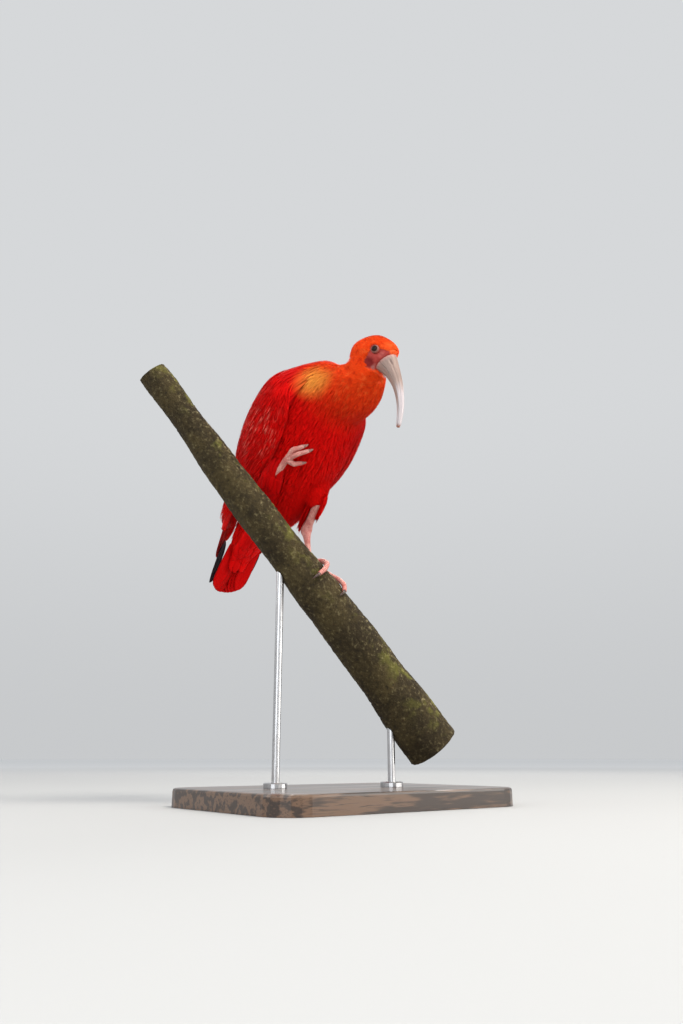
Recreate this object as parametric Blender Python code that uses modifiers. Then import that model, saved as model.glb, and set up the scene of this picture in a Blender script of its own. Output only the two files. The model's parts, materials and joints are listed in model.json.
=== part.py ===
"""A scarlet ibis at life size, resting on one leg on a cut branch, on a plain display stand.

Run with: blender --background --python part.py

Metres, +Z up. The bird faces +X and its left is +Y. The origin is the middle of the stand's
underside. The trunk, wings and tail are drawn in the body's own frame, x along the back towards
the head and z out of the back, and the head and bill in the head's frame, x towards the bill.
"""

import math

import bmesh
import bpy
from mathutils import Matrix, Vector

# Gap between faces that touch
GAP = 0.0003

# Display stand
BASE_LENGTH = 0.30
BASE_WIDTH = 0.22
BASE_THICKNESS = 0.018
BASE_CORNER = 0.03
BASE_EDGE = 0.0025
ROD_RADIUS = 0.004
COLLAR_RADIUS = 0.012
COLLAR_HEIGHT = 0.005

# Branch: its slope falls towards the bird's left
PERCH_SLOPE = math.radians(49.1)
PERCH_TURN = math.radians(16.0)
PERCH_RADIUS = 0.0235
PERCH_TAPER = 0.014
PERCH_UP = 0.28
PERCH_DOWN = 0.228
PERCH_SIDES = 18
PERCH_RINGS = 20
GRIP_POINT = Vector((-0.0059, -0.0261, 0.2486))
ROD_LOW_AT = 0.150
ROD_HIGH_AT = -0.045

# Stance
BODY_PITCH = math.radians(43.0)
BODY_OVER_GRIP = Vector((-0.0364, -0.0149, 0.1474))
HEAD_OVER_GRIP = Vector((0.0980, -0.0136, 0.2152))
HEAD_DOWN = math.radians(41.0)
HEAD_TURN = math.radians(20.0)

# Trunk sections: distance along the body, middle height, half width, reach up, reach down
TRUNK = (
    (-0.104, 0.004, 0.024, 0.014, 0.037),
    (-0.090, 0.003, 0.033, 0.023, 0.050),
    (-0.060, 0.001, 0.046, 0.037, 0.059),
    (-0.025, 0.000, 0.056, 0.048, 0.0625),
    (0.010, 0.000, 0.061, 0.053, 0.065),
    (0.040, 0.000, 0.061, 0.053, 0.063),
    (0.065, -0.001, 0.058, 0.048, 0.060),
    (0.085, -0.004, 0.049, 0.038, 0.052),
    (0.101, -0.009, 0.036, 0.025, 0.039),
    (0.111, -0.012, 0.024, 0.016, 0.027),
    (0.116, -0.013, 0.012, 0.009, 0.015),
)
TRUNK_SIDES = 32
TRUNK_RINGS = 18

# Surface that the folded wings follow behind the flanks, out to the wing tips
WING_GUIDE_REAR = (
    (-0.204, -0.003, 0.028, 0.012, 0.012),
    (-0.168, 0.000, 0.033, 0.017, 0.017),
    (-0.136, 0.001, 0.037, 0.024, 0.028),
    (-0.100, 0.001, 0.042, 0.032, 0.042),
)

# Wing bed under the feathers: distance along, upper edge, lower edge as angles from the back
WING_EDGES = (
    (-0.132, 22.0, 82.0),
    (-0.100, 13.0, 98.0),
    (-0.070, 9.0, 112.0),
    (-0.035, 9.0, 123.0),
    (0.000, 11.0, 130.0),
    (0.035, 16.0, 129.0),
    (0.060, 28.0, 121.0),
    (0.076, 42.0, 109.0),
)
WING_BULGE = 0.0032
WING_INSIDE = -0.006
# Rows of wing feathers: root and tip along the body, angles of the top and the low feather at
# the root and at the tip, count, feather width, height of root, middle and tip over the bed,
# how much shorter and how much deeper each feather lies than the one above it
WING_TIERS = (
    (0.067, 0.030, 46.0, 109.0, 40.0, 113.0, 4, 0.0185, (-0.0014, 0.0010, 0.0032), 0.0, 0.0),
    (0.040, 0.000, 27.0, 119.0, 24.0, 121.0, 6, 0.0200, (-0.0014, 0.0010, 0.0032), 0.0, 0.0),
    (0.012, -0.036, 18.0, 122.0, 18.0, 116.0, 7, 0.0190, (-0.0014, 0.0010, 0.0030), 0.0, 0.0),
    (-0.020, -0.146, 17.0, 113.0, 24.0, 92.0, 6, 0.0180, (-0.0014, 0.0012, 0.0016), 0.009, 0.0),
    (-0.108, -0.169, 38.0, 62.0, 40.0, 60.0, 3, 0.0130, (-0.0016, -0.0014, -0.0010), 0.004, 0.0011),
)
# The dark flight feathers' tips and the hidden bed that holds them
PRIMARY_EDGES = (
    (-0.154, 36.0, 66.0),
    (-0.1326, 32.0, 70.0),
)
PRIMARY_BED = (-0.0086, -0.0056)
PRIMARY_TIER = (
    (-0.142, -0.201, 42.0, 60.0, 44.0, 60.0, 3, 0.0120, (-0.0064, -0.0046, -0.0026), 0.006, 0.0011)
)

# One feather: share of its length, share of its width
VANE_STATIONS = ((0.0, 0.35), (0.16, 0.80), (0.50, 1.0), (0.84, 0.74), (1.0, 0.16))
LONG_STATIONS = ((0.0, 0.35), (0.10, 0.80), (0.34, 1.0), (0.60, 1.0), (0.86, 0.72), (1.0, 0.16))
VANE_EDGE = 0.0005
VANE_QUILL = 0.0007
VANE_RIDGE = 0.0002
VANE_TILT = 0.125

# Head sections: distance towards the bill, middle height, half width, reach up, reach down
HEAD = (
    (-0.0165, -0.0030, 0.0050, 0.0045, 0.0050),
    (-0.0130, -0.0024, 0.0110, 0.0098, 0.0114),
    (-0.0055, -0.0008, 0.0158, 0.0176, 0.0170),
    (0.0040, 0.0000, 0.0182, 0.0232, 0.0190),
    (0.0150, 0.0010, 0.0172, 0.0234, 0.0182),
    (0.0230, 0.0020, 0.0146, 0.0204, 0.0158),
    (0.0285, 0.0022, 0.0112, 0.0156, 0.0134),
)
# How far the face's front edge leans over the bill, as forward run per height
FACE_LEAN = 0.40
HEAD_SIDES = 22
HEAD_RINGS = 12
EYE_RADIUS = 0.0052
EYE_AT = Vector((0.0176, 0.0124, 0.0060))
LID_RADIUS = 0.0050
LID_THICKNESS = 0.0012

# Bill: an arc that leaves the head a little below its axis and bends down
BILL_LENGTH = 0.0805
BILL_START = math.radians(15.8)
BILL_BEND = math.radians(48.7)
BILL_BASE_Z = 0.0013
# Share of the length, half width, half depth, gape line from the middle
BILL = (
    (0.00, 0.0098, 0.0126, -0.0036),
    (0.14, 0.0080, 0.0091, -0.0024),
    (0.32, 0.0059, 0.0064, -0.0012),
    (0.55, 0.0043, 0.0045, -0.0006),
    (0.80, 0.0032, 0.0033, -0.0002),
    (0.95, 0.0024, 0.0024, 0.0),
    (1.00, 0.0014, 0.0014, 0.0),
)
THROAT_AIR = 0.0008
NOSTRIL_SHARE = 0.10
NOSTRIL_LENGTH = 0.0050
NOSTRIL_HEIGHT = 0.0008
BILL_RINGS = 14
BILL_SIDES = 8

# Neck: points in the body's frame with half width and half depth
NECK = (
    (Vector((0.050, 0.000, -0.008)), 0.044, 0.042),
    (Vector((0.078, 0.002, -0.026)), 0.0415, 0.0360),
    (Vector((0.101, 0.005, -0.044)), 0.0350, 0.0315),
    (Vector((0.120, 0.004, -0.053)), 0.0275, 0.0260),
    (Vector((0.132, 0.001, -0.051)), 0.0210, 0.0210),
    (Vector((0.141, -0.001, -0.045)), 0.0150, 0.0155),
)
NECK_SIDES = 22
NECK_RINGS = 10

# Tail: bed under the feathers, then the feathers in layers below the middle pair
TAIL_ROOT = Vector((-0.1043, 0.0, 0.004))
TAIL_DROOP = math.radians(4.5)
TAIL_SWAY = math.radians(0.8)
TAIL_BED = (
    (0.0, 0.0000, 0.0235, 0.0135, 0.0325),
    (0.020, -0.0005, 0.0225, 0.0095, 0.0205),
    (0.042, -0.0010, 0.0185, 0.0050, 0.0105),
    (0.056, -0.0012, 0.0120, 0.0022, 0.0045),
)
TAIL_FEATHER_ROOT = 0.016
TAIL_LENGTH = 0.109
TAIL_PAIRS = 4
TAIL_FEATHER_WIDTH = 0.0208
TAIL_FAN = math.radians(2.2)
TAIL_LAYER = 0.0012
# Rows of feathers over and under the tail's root: root, tip, spread, count, width, side
TAIL_COVERTS = (
    (0.004, 0.048, 0.0125, 3, 0.0145, 1),
    (0.004, 0.044, 0.0140, 3, 0.0165, -1),
    (0.026, 0.074, 0.0095, 2, 0.0160, -1),
)
TAIL_COVERT_STEP = 0.0012

# Legs
THIGH_LEFT = (
    (Vector((-0.014, 0.016, -0.038)), 0.0225),
    (Vector((-0.025, 0.0175, -0.051)), 0.0185),
    (Vector((-0.0355, 0.0185, -0.0670)), 0.0098),
)
SHANK_RADIUS = 0.0050
HOCK_RADIUS = 0.0066
TARSUS_RADIUS = 0.0032
HOCK_LEFT = Vector((-0.040, 0.006, 0.052))
ANKLE_HEIGHT = 0.008

TOE_RADIUS = 0.0034
TOE_TIP_RADIUS = 0.0024
CLAW_LENGTH = 0.008
# Share of the claw's length, radius
CLAW = ((0.12, 0.0017), (0.60, 0.0012), (1.0, 0.0005))
# Way of each toe from the ankle: run down the branch and bearing round it, in degrees
FOOT_BEARING = -38.0
FOOT_RUN = -0.010
TOES_LEFT = (
    ((-0.003, 5.0), (0.001, 34.0), (0.003, 60.0), (0.003, 82.0)),
    ((0.012, -16.0), (0.023, 5.0), (0.030, 30.0), (0.035, 55.0)),
    ((0.008, -50.0), (0.022, -68.0), (0.030, -92.0), (0.032, -114.0)),
    ((-0.018, -44.0), (-0.024, -58.0), (-0.028, -74.0), (-0.029, -92.0)),
)

# Raised leg on the belly: distance along the body, angle from the back, lift off the skin. Each
# toe has a bend and a tip
HOCK_RIGHT = (-0.046, 137.0, 0.004)
ANKLE_RIGHT = (0.006, 143.0, 0.004)
TOES_RIGHT = (
    ((0.0195, 145.0, 0.006), (0.0285, 153.0, 0.004)),
    ((0.0170, 149.5, 0.007), (0.0265, 159.0, 0.005)),
    ((0.0060, 151.5, 0.006), (0.0105, 158.0, 0.005)),
)

COLOURS = {
    "scarlet": ((0.60, 0.010, 0.006), 0.65, 0.0),
    "scarlet_deep": ((0.42, 0.006, 0.006), 0.65, 0.0),
    "orange_red": ((0.72, 0.045, 0.010), 0.65, 0.0),
    "ink_black": ((0.010, 0.012, 0.025), 0.45, 0.0),
    "bill_horn": ((0.36, 0.28, 0.25), 0.45, 0.0),
    "leg_pink": ((0.62, 0.26, 0.24), 0.5, 0.0),
    "eye_brown": ((0.010, 0.006, 0.005), 0.1, 0.0),
    "bark": ((0.17, 0.14, 0.09), 0.9, 0.0),
    "stand_wood": ((0.035, 0.025, 0.02), 0.4, 0.0),
    "stand_steel": ((0.55, 0.55, 0.56), 0.3, 1.0),
}


def clear_scene():
    """Remove every object of the scene."""
    for thing in list(bpy.data.objects):
        bpy.data.objects.remove(thing, do_unlink=True)


def finish_of(name):
    """The Principled material called name, made once."""
    found = bpy.data.materials.get(name)
    if found:
        return found
    colour, roughness, metallic = COLOURS[name]
    made = bpy.data.materials.new(name)
    made.use_nodes = True
    shader = made.node_tree.nodes["Principled BSDF"]
    shader.inputs["Base Color"].default_value = (*colour, 1.0)
    shader.inputs["Roughness"].default_value = roughness
    shader.inputs["Metallic"].default_value = metallic
    return made


def add_object(name, data, collection, frame=None, colour=None):
    """Link a new object to a collection, hung from a frame empty if one is given."""
    made = bpy.data.objects.new(name, data)
    collection.objects.link(made)
    if frame is not None:
        made.parent = frame
    if colour is not None:
        data.materials.clear()
        data.materials.append(finish_of(colour))
    return made


def add_frame(name, collection, matrix):
    """An empty that carries the pieces drawn in its own frame."""
    made = bpy.data.objects.new(name, None)
    made.empty_display_size = 0.02
    made.matrix_world = matrix
    collection.objects.link(made)
    return made


def mesh_of(name, grow):
    """A mesh filled by grow(bm), with its faces pointing outwards."""
    bm = bmesh.new()
    grow(bm)
    bmesh.ops.recalc_face_normals(bm, faces=bm.faces)
    data = bpy.data.meshes.new(name)
    bm.to_mesh(data)
    bm.free()
    data.shade_smooth()
    data.set_sharp_from_angle(angle=math.radians(40))
    return data


def eased(rows, x):
    """The columns of a table at x, on one smooth curve through its rows."""
    last = len(rows) - 1
    if x <= rows[0][0]:
        return rows[0][1:]
    if x >= rows[last][0]:
        return rows[last][1:]
    k = max(i for i in range(last) if rows[i][0] <= x)
    before, here, there, after = (rows[min(max(i, 0), last)] for i in (k - 1, k, k + 1, k + 2))
    span = there[0] - here[0]
    t = (x - here[0]) / span
    values = []
    for column in range(1, len(here)):
        slope_in = (there[column] - before[column]) / (there[0] - before[0]) * span
        slope_out = (after[column] - here[column]) / (after[0] - here[0]) * span
        values.append(
            (2 * t**3 - 3 * t**2 + 1) * here[column]
            + (t**3 - 2 * t**2 + t) * slope_in
            + (3 * t**2 - 2 * t**3) * there[column]
            + (t**3 - t**2) * slope_out
        )
    return values


def spread(first, last, count):
    """count evenly spaced numbers from first to last."""
    return [first + (last - first) * i / (count - 1) for i in range(count)]


def loft(bm, rings):
    """Join rings of points into one closed body with a flat face at each end."""
    loops = [[bm.verts.new(point) for point in ring] for ring in rings]
    count = len(loops[0])
    for lower, upper in zip(loops, loops[1:]):
        for i in range(count):
            j = (i + 1) % count
            bm.faces.new((lower[i], lower[j], upper[j], upper[i]))
    bm.faces.new(list(reversed(loops[0])))
    bm.faces.new(loops[-1])


def oval(centre, side, up, half_width, reach_up, reach_down, sides):
    """A ring of points with its own reach up and down."""
    ring = []
    for i in range(sides):
        turn = math.tau * i / sides
        reach = reach_up if math.cos(turn) >= 0 else reach_down
        ring.append(centre + side * half_width * math.sin(turn) + up * reach * math.cos(turn))
    return ring


def section_rings(rows, places, sides, grow=0.0):
    """Rings of a table of sections across the X axis, at the places along it."""
    rings = []
    for x in places:
        height, half_width, reach_up, reach_down = eased(rows, x)
        rings.append(
            oval(
                Vector((x, 0.0, height)),
                Vector((0.0, 1.0, 0.0)),
                Vector((0.0, 0.0, 1.0)),
                half_width + grow,
                reach_up + grow,
                reach_down + grow,
                sides,
            )
        )
    return rings


def tube_rings(points, radii, sides):
    """Rings along a bent line, each square to the line, with no twist."""
    rings = []
    side = None
    for i, point in enumerate(points):
        ahead = points[min(i + 1, len(points) - 1)]
        behind = points[max(i - 1, 0)]
        along = (ahead - behind).normalized()
        if side is None:
            side = along.orthogonal().normalized()
        side = (side - along * side.dot(along)).normalized()
        up = along.cross(side)
        rings.append(oval(point, side, up, radii[i], radii[i], radii[i], sides))
    return rings


def bake(thing):
    """Apply a piece's modifiers to its mesh."""
    graph = bpy.context.evaluated_depsgraph_get()
    data = bpy.data.meshes.new_from_object(thing.evaluated_get(graph))
    old = thing.data
    thing.modifiers.clear()
    thing.data = data
    if old.users == 0:
        bpy.data.meshes.remove(old)
    return thing


def keep_largest(thing):
    """Keep the closed surface with the most volume, which fills sealed hollows and drops scraps."""
    bm = bmesh.new()
    bm.from_mesh(thing.data)
    bm.verts.ensure_lookup_table()
    seen = set()
    islands = []
    for start in bm.faces:
        if start in seen:
            continue
        island, queue = [], [start]
        seen.add(start)
        while queue:
            face = queue.pop()
            island.append(face)
            for edge in face.edges:
                for other in edge.link_faces:
                    if other not in seen:
                        seen.add(other)
                        queue.append(other)
        islands.append(island)
    if len(islands) > 1:
        def volume(island):
            total = 0.0
            for face in island:
                first = face.verts[0].co
                for a, b in zip(face.verts[1:], face.verts[2:]):
                    total += first.dot(a.co.cross(b.co))
            return abs(total)

        largest = max(islands, key=volume)
        doomed = [face for island in islands if island is not largest for face in island]
        bmesh.ops.delete(bm, geom=doomed, context="FACES")
        loose = [vert for vert in bm.verts if not vert.link_faces]
        bmesh.ops.delete(bm, geom=loose, context="VERTS")
        bm.to_mesh(thing.data)
    bm.free()
    return thing


def combine(thing, others, operation, solver="EXACT"):
    """Join others to a piece, or cut it with them, and remove them."""
    group = bpy.data.collections.new("operands")
    bpy.context.scene.collection.children.link(group)
    for other in others:
        for owner in list(other.users_collection):
            owner.objects.unlink(other)
        group.objects.link(other)
    modifier = thing.modifiers.new(operation.lower(), "BOOLEAN")
    modifier.operation = operation
    modifier.solver = solver
    modifier.operand_type = "COLLECTION"
    modifier.collection = group
    bpy.context.view_layer.update()
    bake(thing)
    for other in others:
        data = other.data
        bpy.data.objects.remove(other, do_unlink=True)
        if data.users == 0:
            bpy.data.meshes.remove(data)
    bpy.data.collections.remove(group)
    return keep_largest(thing)


def half_space(name, collection, frame, point, normal, size=0.6):
    """A large cube on the side of a plane that its normal points to."""
    data = mesh_of(name, lambda bm: bmesh.ops.create_cube(bm, size=size))
    turn = normal.to_track_quat("Z", "Y").to_matrix().to_4x4()
    data.transform(Matrix.Translation(point + normal.normalized() * size / 2) @ turn)
    return add_object(name, data, collection, frame)


def perch_axes():
    """Unit vectors down the branch, across it towards the bird's front, and out of its top."""
    down = Vector(
        (
            math.sin(PERCH_TURN) * math.cos(PERCH_SLOPE),
            math.cos(PERCH_TURN) * math.cos(PERCH_SLOPE),
            -math.sin(PERCH_SLOPE),
        )
    )
    front = Vector((math.cos(PERCH_TURN), -math.sin(PERCH_TURN), 0.0))
    return down, front, front.cross(down)


def perch_radius(run):
    """Radius of the branch at a distance down it from the grip, with slow swellings."""
    swell = 0.0006 * math.sin(run * 38.0) + 0.0005 * math.sin(run * 71.0 + 1.0)
    return PERCH_RADIUS + PERCH_TAPER * run / 0.5 + swell


def perch_centre(run):
    """Middle of the branch at a distance down it from the grip."""
    down, front, top = perch_axes()
    start = GRIP_POINT - top * perch_radius(0.0)
    sway = 0.0022 * (math.sin(run * 17.0) - 17.0 * run / (1.0 + abs(run * 17.0)))
    return start + down * run + top * sway - front * 0.6 * sway


def perch_surface(run, bearing, lift):
    """Point above the bark; bearing is the angle from the top towards the bird's front."""
    down, front, top = perch_axes()
    outward = top * math.cos(bearing) + front * math.sin(bearing)
    return perch_centre(run) + outward * (perch_radius(run) + lift)


def build_perch(collection, grow=0.0, name="perch_branch"):
    """The cut branch, or the same shape grown outwards as a cutter."""
    rings = []
    for run in spread(-PERCH_UP - grow, PERCH_DOWN + grow, PERCH_RINGS):
        rings.append(
            [
                perch_surface(run, math.tau * i / PERCH_SIDES, grow)
                for i in range(PERCH_SIDES)
            ]
        )
    data = mesh_of(name, lambda bm: loft(bm, rings))
    return add_object(name, data, collection, colour="bark")


def build_stand(collection):
    """The flat base and the two rods, each shaped at its top to the branch's underside."""
    def grow(bm):
        bmesh.ops.create_cube(bm, size=1.0)
        bmesh.ops.scale(bm, vec=(BASE_WIDTH, BASE_LENGTH, BASE_THICKNESS), verts=bm.verts)
        bmesh.ops.translate(bm, vec=(0, 0, BASE_THICKNESS / 2), verts=bm.verts)
        upright = [e for e in bm.edges if abs(e.verts[0].co.z - e.verts[1].co.z) > GAP]
        bmesh.ops.bevel(bm, geom=upright, offset=BASE_CORNER, segments=5, profile=0.5, affect="EDGES")
        top = [e for e in bm.edges if all(v.co.z > BASE_THICKNESS - GAP for v in e.verts)]
        bmesh.ops.bevel(bm, geom=top, offset=BASE_EDGE, segments=2, profile=0.5, affect="EDGES")

    add_object("stand_base", mesh_of("stand_base", grow), collection, colour="stand_wood")
    for name, run in (("stand_rod_low", ROD_LOW_AT), ("stand_rod_high", ROD_HIGH_AT)):
        build_rod(name, run, collection)


def build_rod(name, run, collection):
    """A turned rod with a collar on the base, cut at its top to lie against the branch."""
    centre = perch_centre(run)
    foot = BASE_THICKNESS + GAP
    profile = (
        (0.0, centre.z),
        (ROD_RADIUS, centre.z),
        (ROD_RADIUS, foot + COLLAR_HEIGHT),
        (COLLAR_RADIUS - 0.001, foot + COLLAR_HEIGHT),
        (COLLAR_RADIUS, foot + COLLAR_HEIGHT - 0.001),
        (COLLAR_RADIUS, foot),
        (0.0, foot),
    )
    data = bpy.data.meshes.new(name)
    edges = [(i, i + 1) for i in range(len(profile) - 1)]
    data.from_pydata([(x, 0.0, z) for x, z in profile], edges, [])
    rod = add_object(name, data, collection, colour="stand_steel")
    rod.location = (centre.x, centre.y, 0.0)
    turning = rod.modifiers.new("turning", "SCREW")
    turning.steps = turning.render_steps = 20
    turning.use_merge_vertices = True
    turning.merge_threshold = 0.00005
    bake(rod)
    rod.data.shade_smooth()
    rod.data.set_sharp_from_angle(angle=math.radians(40))
    combine(rod, [build_perch(collection, GAP, "branch_cutter")], "DIFFERENCE")


def trunk_rows():
    """Sections of the flanks with the wings' guide carried on behind them."""
    return WING_GUIDE_REAR + TRUNK[2:]


def skin_point(x, angle, lift=0.0, side=-1):
    """Point over the trunk's skin. angle runs from the back over one side; side -1 is the right."""
    height, half_width, reach_up, reach_down = eased(trunk_rows(), x)
    reach = reach_up if math.cos(angle) >= 0 else reach_down
    outward = Vector((0.0, math.sin(angle) / half_width, math.cos(angle) / reach)).normalized()
    point = Vector((x, half_width * math.sin(angle), height + reach * math.cos(angle)))
    point += outward * lift
    point.y *= side
    return point


def build_trunk(collection, frame, grow=0.0, name="torso"):
    """The trunk from the neck's root to the tail's root."""
    places = spread(TRUNK[0][0] - grow, TRUNK[-1][0] + grow, TRUNK_RINGS)
    rings = section_rings(TRUNK, places, TRUNK_SIDES, grow)
    data = mesh_of(name, lambda bm: loft(bm, rings))
    return add_object(name, data, collection, frame, "scarlet")


def neck_rings(grow=0.0):
    """Rings of the drawn-in neck, from inside the trunk to inside the head."""
    places = spread(0.0, len(NECK) - 1.0, NECK_RINGS)
    rows = [(i, *point, width, depth) for i, (point, width, depth) in enumerate(NECK)]
    line = [eased(rows, place) for place in places]
    points = [Vector(values[:3]) for values in line]
    rings = []
    for i, values in enumerate(line):
        along = (points[min(i + 1, len(points) - 1)] - points[max(i - 1, 0)]).normalized()
        side = Vector((0.0, 1.0, 0.0))
        side = (side - along * side.dot(along)).normalized()
        up = along.cross(side)
        width, depth = values[3] + grow, values[4] + grow
        rings.append(oval(points[i], side, up, width, depth, depth, NECK_SIDES))
    return rings


def build_neck(collection, frame, grow=0.0, name="neck"):
    """The neck as one closed tube."""
    data = mesh_of(name, lambda bm: loft(bm, neck_rings(grow)))
    return add_object(name, data, collection, frame, "orange_red")


def build_skull(collection, frame, grow=0.0, name="head"):
    """The feathered head from its back to the bill's root, its front edge leaning over the bill."""
    places = spread(HEAD[0][0], HEAD[-1][0], HEAD_RINGS)
    rings = section_rings(HEAD, places, HEAD_SIDES, grow)
    rings[0] = [point - Vector((grow, 0.0, 0.0)) for point in rings[0]]
    front, behind = HEAD[-1][0], HEAD[-4][0]
    for ring in rings:
        share = max(0.0, (ring[0].x - behind) / (front - behind))
        for point in ring:
            point.x += FACE_LEAN * share**2 * (point.z - BILL_BASE_Z)
    data = mesh_of(name, lambda bm: loft(bm, rings))
    return add_object(name, data, collection, frame, "orange_red")


def ball(name, collection, frame, centre, radius, colour=None, segments=16, rings=10):
    """A sphere with its poles across the head."""
    def grow(bm):
        bmesh.ops.create_uvsphere(bm, u_segments=segments, v_segments=rings, radius=radius)
        bmesh.ops.rotate(bm, verts=bm.verts, cent=(0, 0, 0), matrix=Matrix.Rotation(math.pi / 2, 3, "X"))
        bmesh.ops.translate(bm, verts=bm.verts, vec=centre)

    return add_object(name, mesh_of(name, grow), collection, frame, colour)


def lid_ring(name, collection, frame, centre, side):
    """The raised ring of the lids round an eye."""
    out = centre + Vector((0.0, side * 0.0034, 0.0))
    points = [
        out + Vector((math.cos(turn) * LID_RADIUS, 0.0, math.sin(turn) * LID_RADIUS * 0.92))
        for turn in (math.tau * i / 16 for i in range(16))
    ]

    def grow(bm):
        loops = []
        for i, point in enumerate(points):
            along = (points[(i + 1) % 16] - points[i - 1]).normalized()
            across = Vector((0.0, 1.0, 0.0))
            radial = along.cross(across)
            loops.append(
                [
                    bm.verts.new(point + (across * math.cos(t) + radial * math.sin(t)) * LID_THICKNESS)
                    for t in (math.tau * k / 6 for k in range(6))
                ]
            )
        for i in range(16):
            for k in range(6):
                a, b = loops[i], loops[(i + 1) % 16]
                bm.faces.new((a[k], a[(k + 1) % 6], b[(k + 1) % 6], b[k]))

    return add_object(name, mesh_of(name, grow), collection, frame)


def build_head(collection, body_frame, head_frame):
    """Head with lids and sockets, eyes, and the neck cut clear of the head and the trunk."""
    head = build_skull(collection, head_frame)
    lids = []
    for name, side in (("eye_left", 1), ("eye_right", -1)):
        centre = Vector((EYE_AT.x, side * EYE_AT.y, EYE_AT.z))
        lids.append(lid_ring("lid", collection, head_frame, centre, side))
        ball(name, collection, head_frame, centre, EYE_RADIUS, "eye_brown")
    combine(head, lids, "UNION")
    sockets = [
        ball(
            "socket",
            collection,
            head_frame,
            Vector((EYE_AT.x, side * EYE_AT.y, EYE_AT.z)),
            EYE_RADIUS + GAP,
        )
        for side in (1, -1)
    ]
    combine(head, sockets, "DIFFERENCE")
    neck = build_neck(collection, body_frame)
    cutters = [
        build_skull(collection, head_frame, GAP, "skull_cutter"),
        build_trunk(collection, body_frame, GAP, "trunk_cutter"),
        bill_room(collection, head_frame),
    ]
    combine(neck, cutters, "DIFFERENCE")


def bill_frame(share):
    """Middle, forward and upward directions of the bill at a share of its length."""
    turn = BILL_START + BILL_BEND * share
    radius = BILL_LENGTH / BILL_BEND
    start = Vector((HEAD[-1][0] + GAP, 0.0, BILL_BASE_Z))
    reach = math.sin(turn) - math.sin(BILL_START), math.cos(turn) - math.cos(BILL_START)
    middle = start + Vector((reach[0], 0.0, reach[1])) * radius
    forward = Vector((math.cos(turn), 0.0, -math.sin(turn)))
    upward = Vector((math.sin(turn), 0.0, math.cos(turn)))
    return middle, forward, upward


def bill_room(collection, frame):
    """Cutter for the throat: the bill's outline with a little air round it."""
    rings = []
    for share in spread(0.0, 0.5, 8):
        half_width, half_depth, _ = eased(BILL, share)
        middle, _, upward = bill_frame(share)
        reach = half_depth + THROAT_AIR
        rings.append(
            oval(middle, Vector((0.0, 1.0, 0.0)), upward, half_width + THROAT_AIR, reach, reach, 16)
        )
    rings[0] = [point - Vector((0.004, 0.0, 0.0)) for point in rings[0]]
    data = mesh_of("bill_room", lambda bm: loft(bm, rings))
    return add_object("bill_room", data, collection, frame)


def mandible_rings(upper):
    """D-shaped rings of the upper or the lower half of the bill, the first along the face's edge."""
    rings = []
    side = Vector((0.0, 1.0, 0.0))
    for share in spread(0.0, 1.0, BILL_RINGS):
        half_width, half_depth, gape = eased(BILL, share)
        middle, forward, upward = bill_frame(share)
        start = math.acos(min(max(gape / half_depth, -0.9), 0.9))
        sweep = spread(-start, start, BILL_SIDES) if upper else spread(start, math.tau - start, BILL_SIDES)
        shift = upward * (GAP / 2 if upper else -GAP / 2)
        lean = math.tan(math.atan(FACE_LEAN) - BILL_START) * max(0.0, 1.0 - share / 0.3)
        rings.append(
            [
                middle
                + shift
                + side * half_width * math.sin(t)
                + (upward + forward * lean) * half_depth * math.cos(t)
                for t in sweep
            ]
        )
    return rings


def build_bill(collection, frame):
    """Upper and lower halves of the bill, apart along the line of the mouth, with nostril slits."""
    for name, upper in (("bill_upper", True), ("bill_lower", False)):
        rings = mandible_rings(upper)
        data = mesh_of(name, lambda bm: loft(bm, rings))
        bill = add_object(name, data, collection, frame, "bill_horn")
        if upper:
            combine(bill, [nostril(collection, frame, side) for side in (-1, 1)], "DIFFERENCE")


def nostril(collection, frame, side):
    """A slim cutter for one nostril slit."""
    middle, forward, upward = bill_frame(NOSTRIL_SHARE)
    half_width, half_depth, _ = eased(BILL, NOSTRIL_SHARE)
    centre = middle + upward * half_depth * 0.45 + forward * 0.002
    centre.y += side * half_width * 0.9

    def grow(bm):
        bmesh.ops.create_uvsphere(bm, u_segments=10, v_segments=6, radius=1.0)
        bmesh.ops.scale(bm, vec=(NOSTRIL_LENGTH / 2, 0.0018, NOSTRIL_HEIGHT / 2), verts=bm.verts)

    data = mesh_of("nostril", grow)
    turn = Matrix((forward, Vector((0.0, 1.0, 0.0)), upward)).transposed().to_4x4()
    data.transform(Matrix.Translation(centre) @ turn)
    return add_object("nostril", data, collection, frame)


def bed(bm, edges, side, rows, columns, outer_lift, inner_lift):
    """A closed pad over the trunk between two edges, split alike on both faces."""
    outer, inner = [], []
    for x in spread(edges[0][0], edges[-1][0], rows):
        top, bottom = eased(edges, x)
        angles = [math.radians(a) for a in spread(top, bottom, columns)]
        outer.append([bm.verts.new(skin_point(x, a, outer_lift(x, a), side)) for a in angles])
        inner.append([bm.verts.new(skin_point(x, a, inner_lift, side)) for a in angles])
    for sheet in (outer, inner):
        for a, b in zip(sheet, sheet[1:]):
            for k in range(columns - 1):
                bm.faces.new((a[k], a[k + 1], b[k + 1]))
                bm.faces.new((a[k], b[k + 1], b[k]))
    rims = []
    for sheet in (outer, inner):
        right = [row[-1] for row in sheet[1:-1]]
        left = [row[0] for row in sheet[-2:0:-1]]
        rims.append(sheet[0] + right + sheet[-1][::-1] + left)
    for i in range(len(rims[0])):
        j = (i + 1) % len(rims[0])
        bm.faces.new((rims[0][i], rims[1][i], rims[1][j], rims[0][j]))


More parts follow.
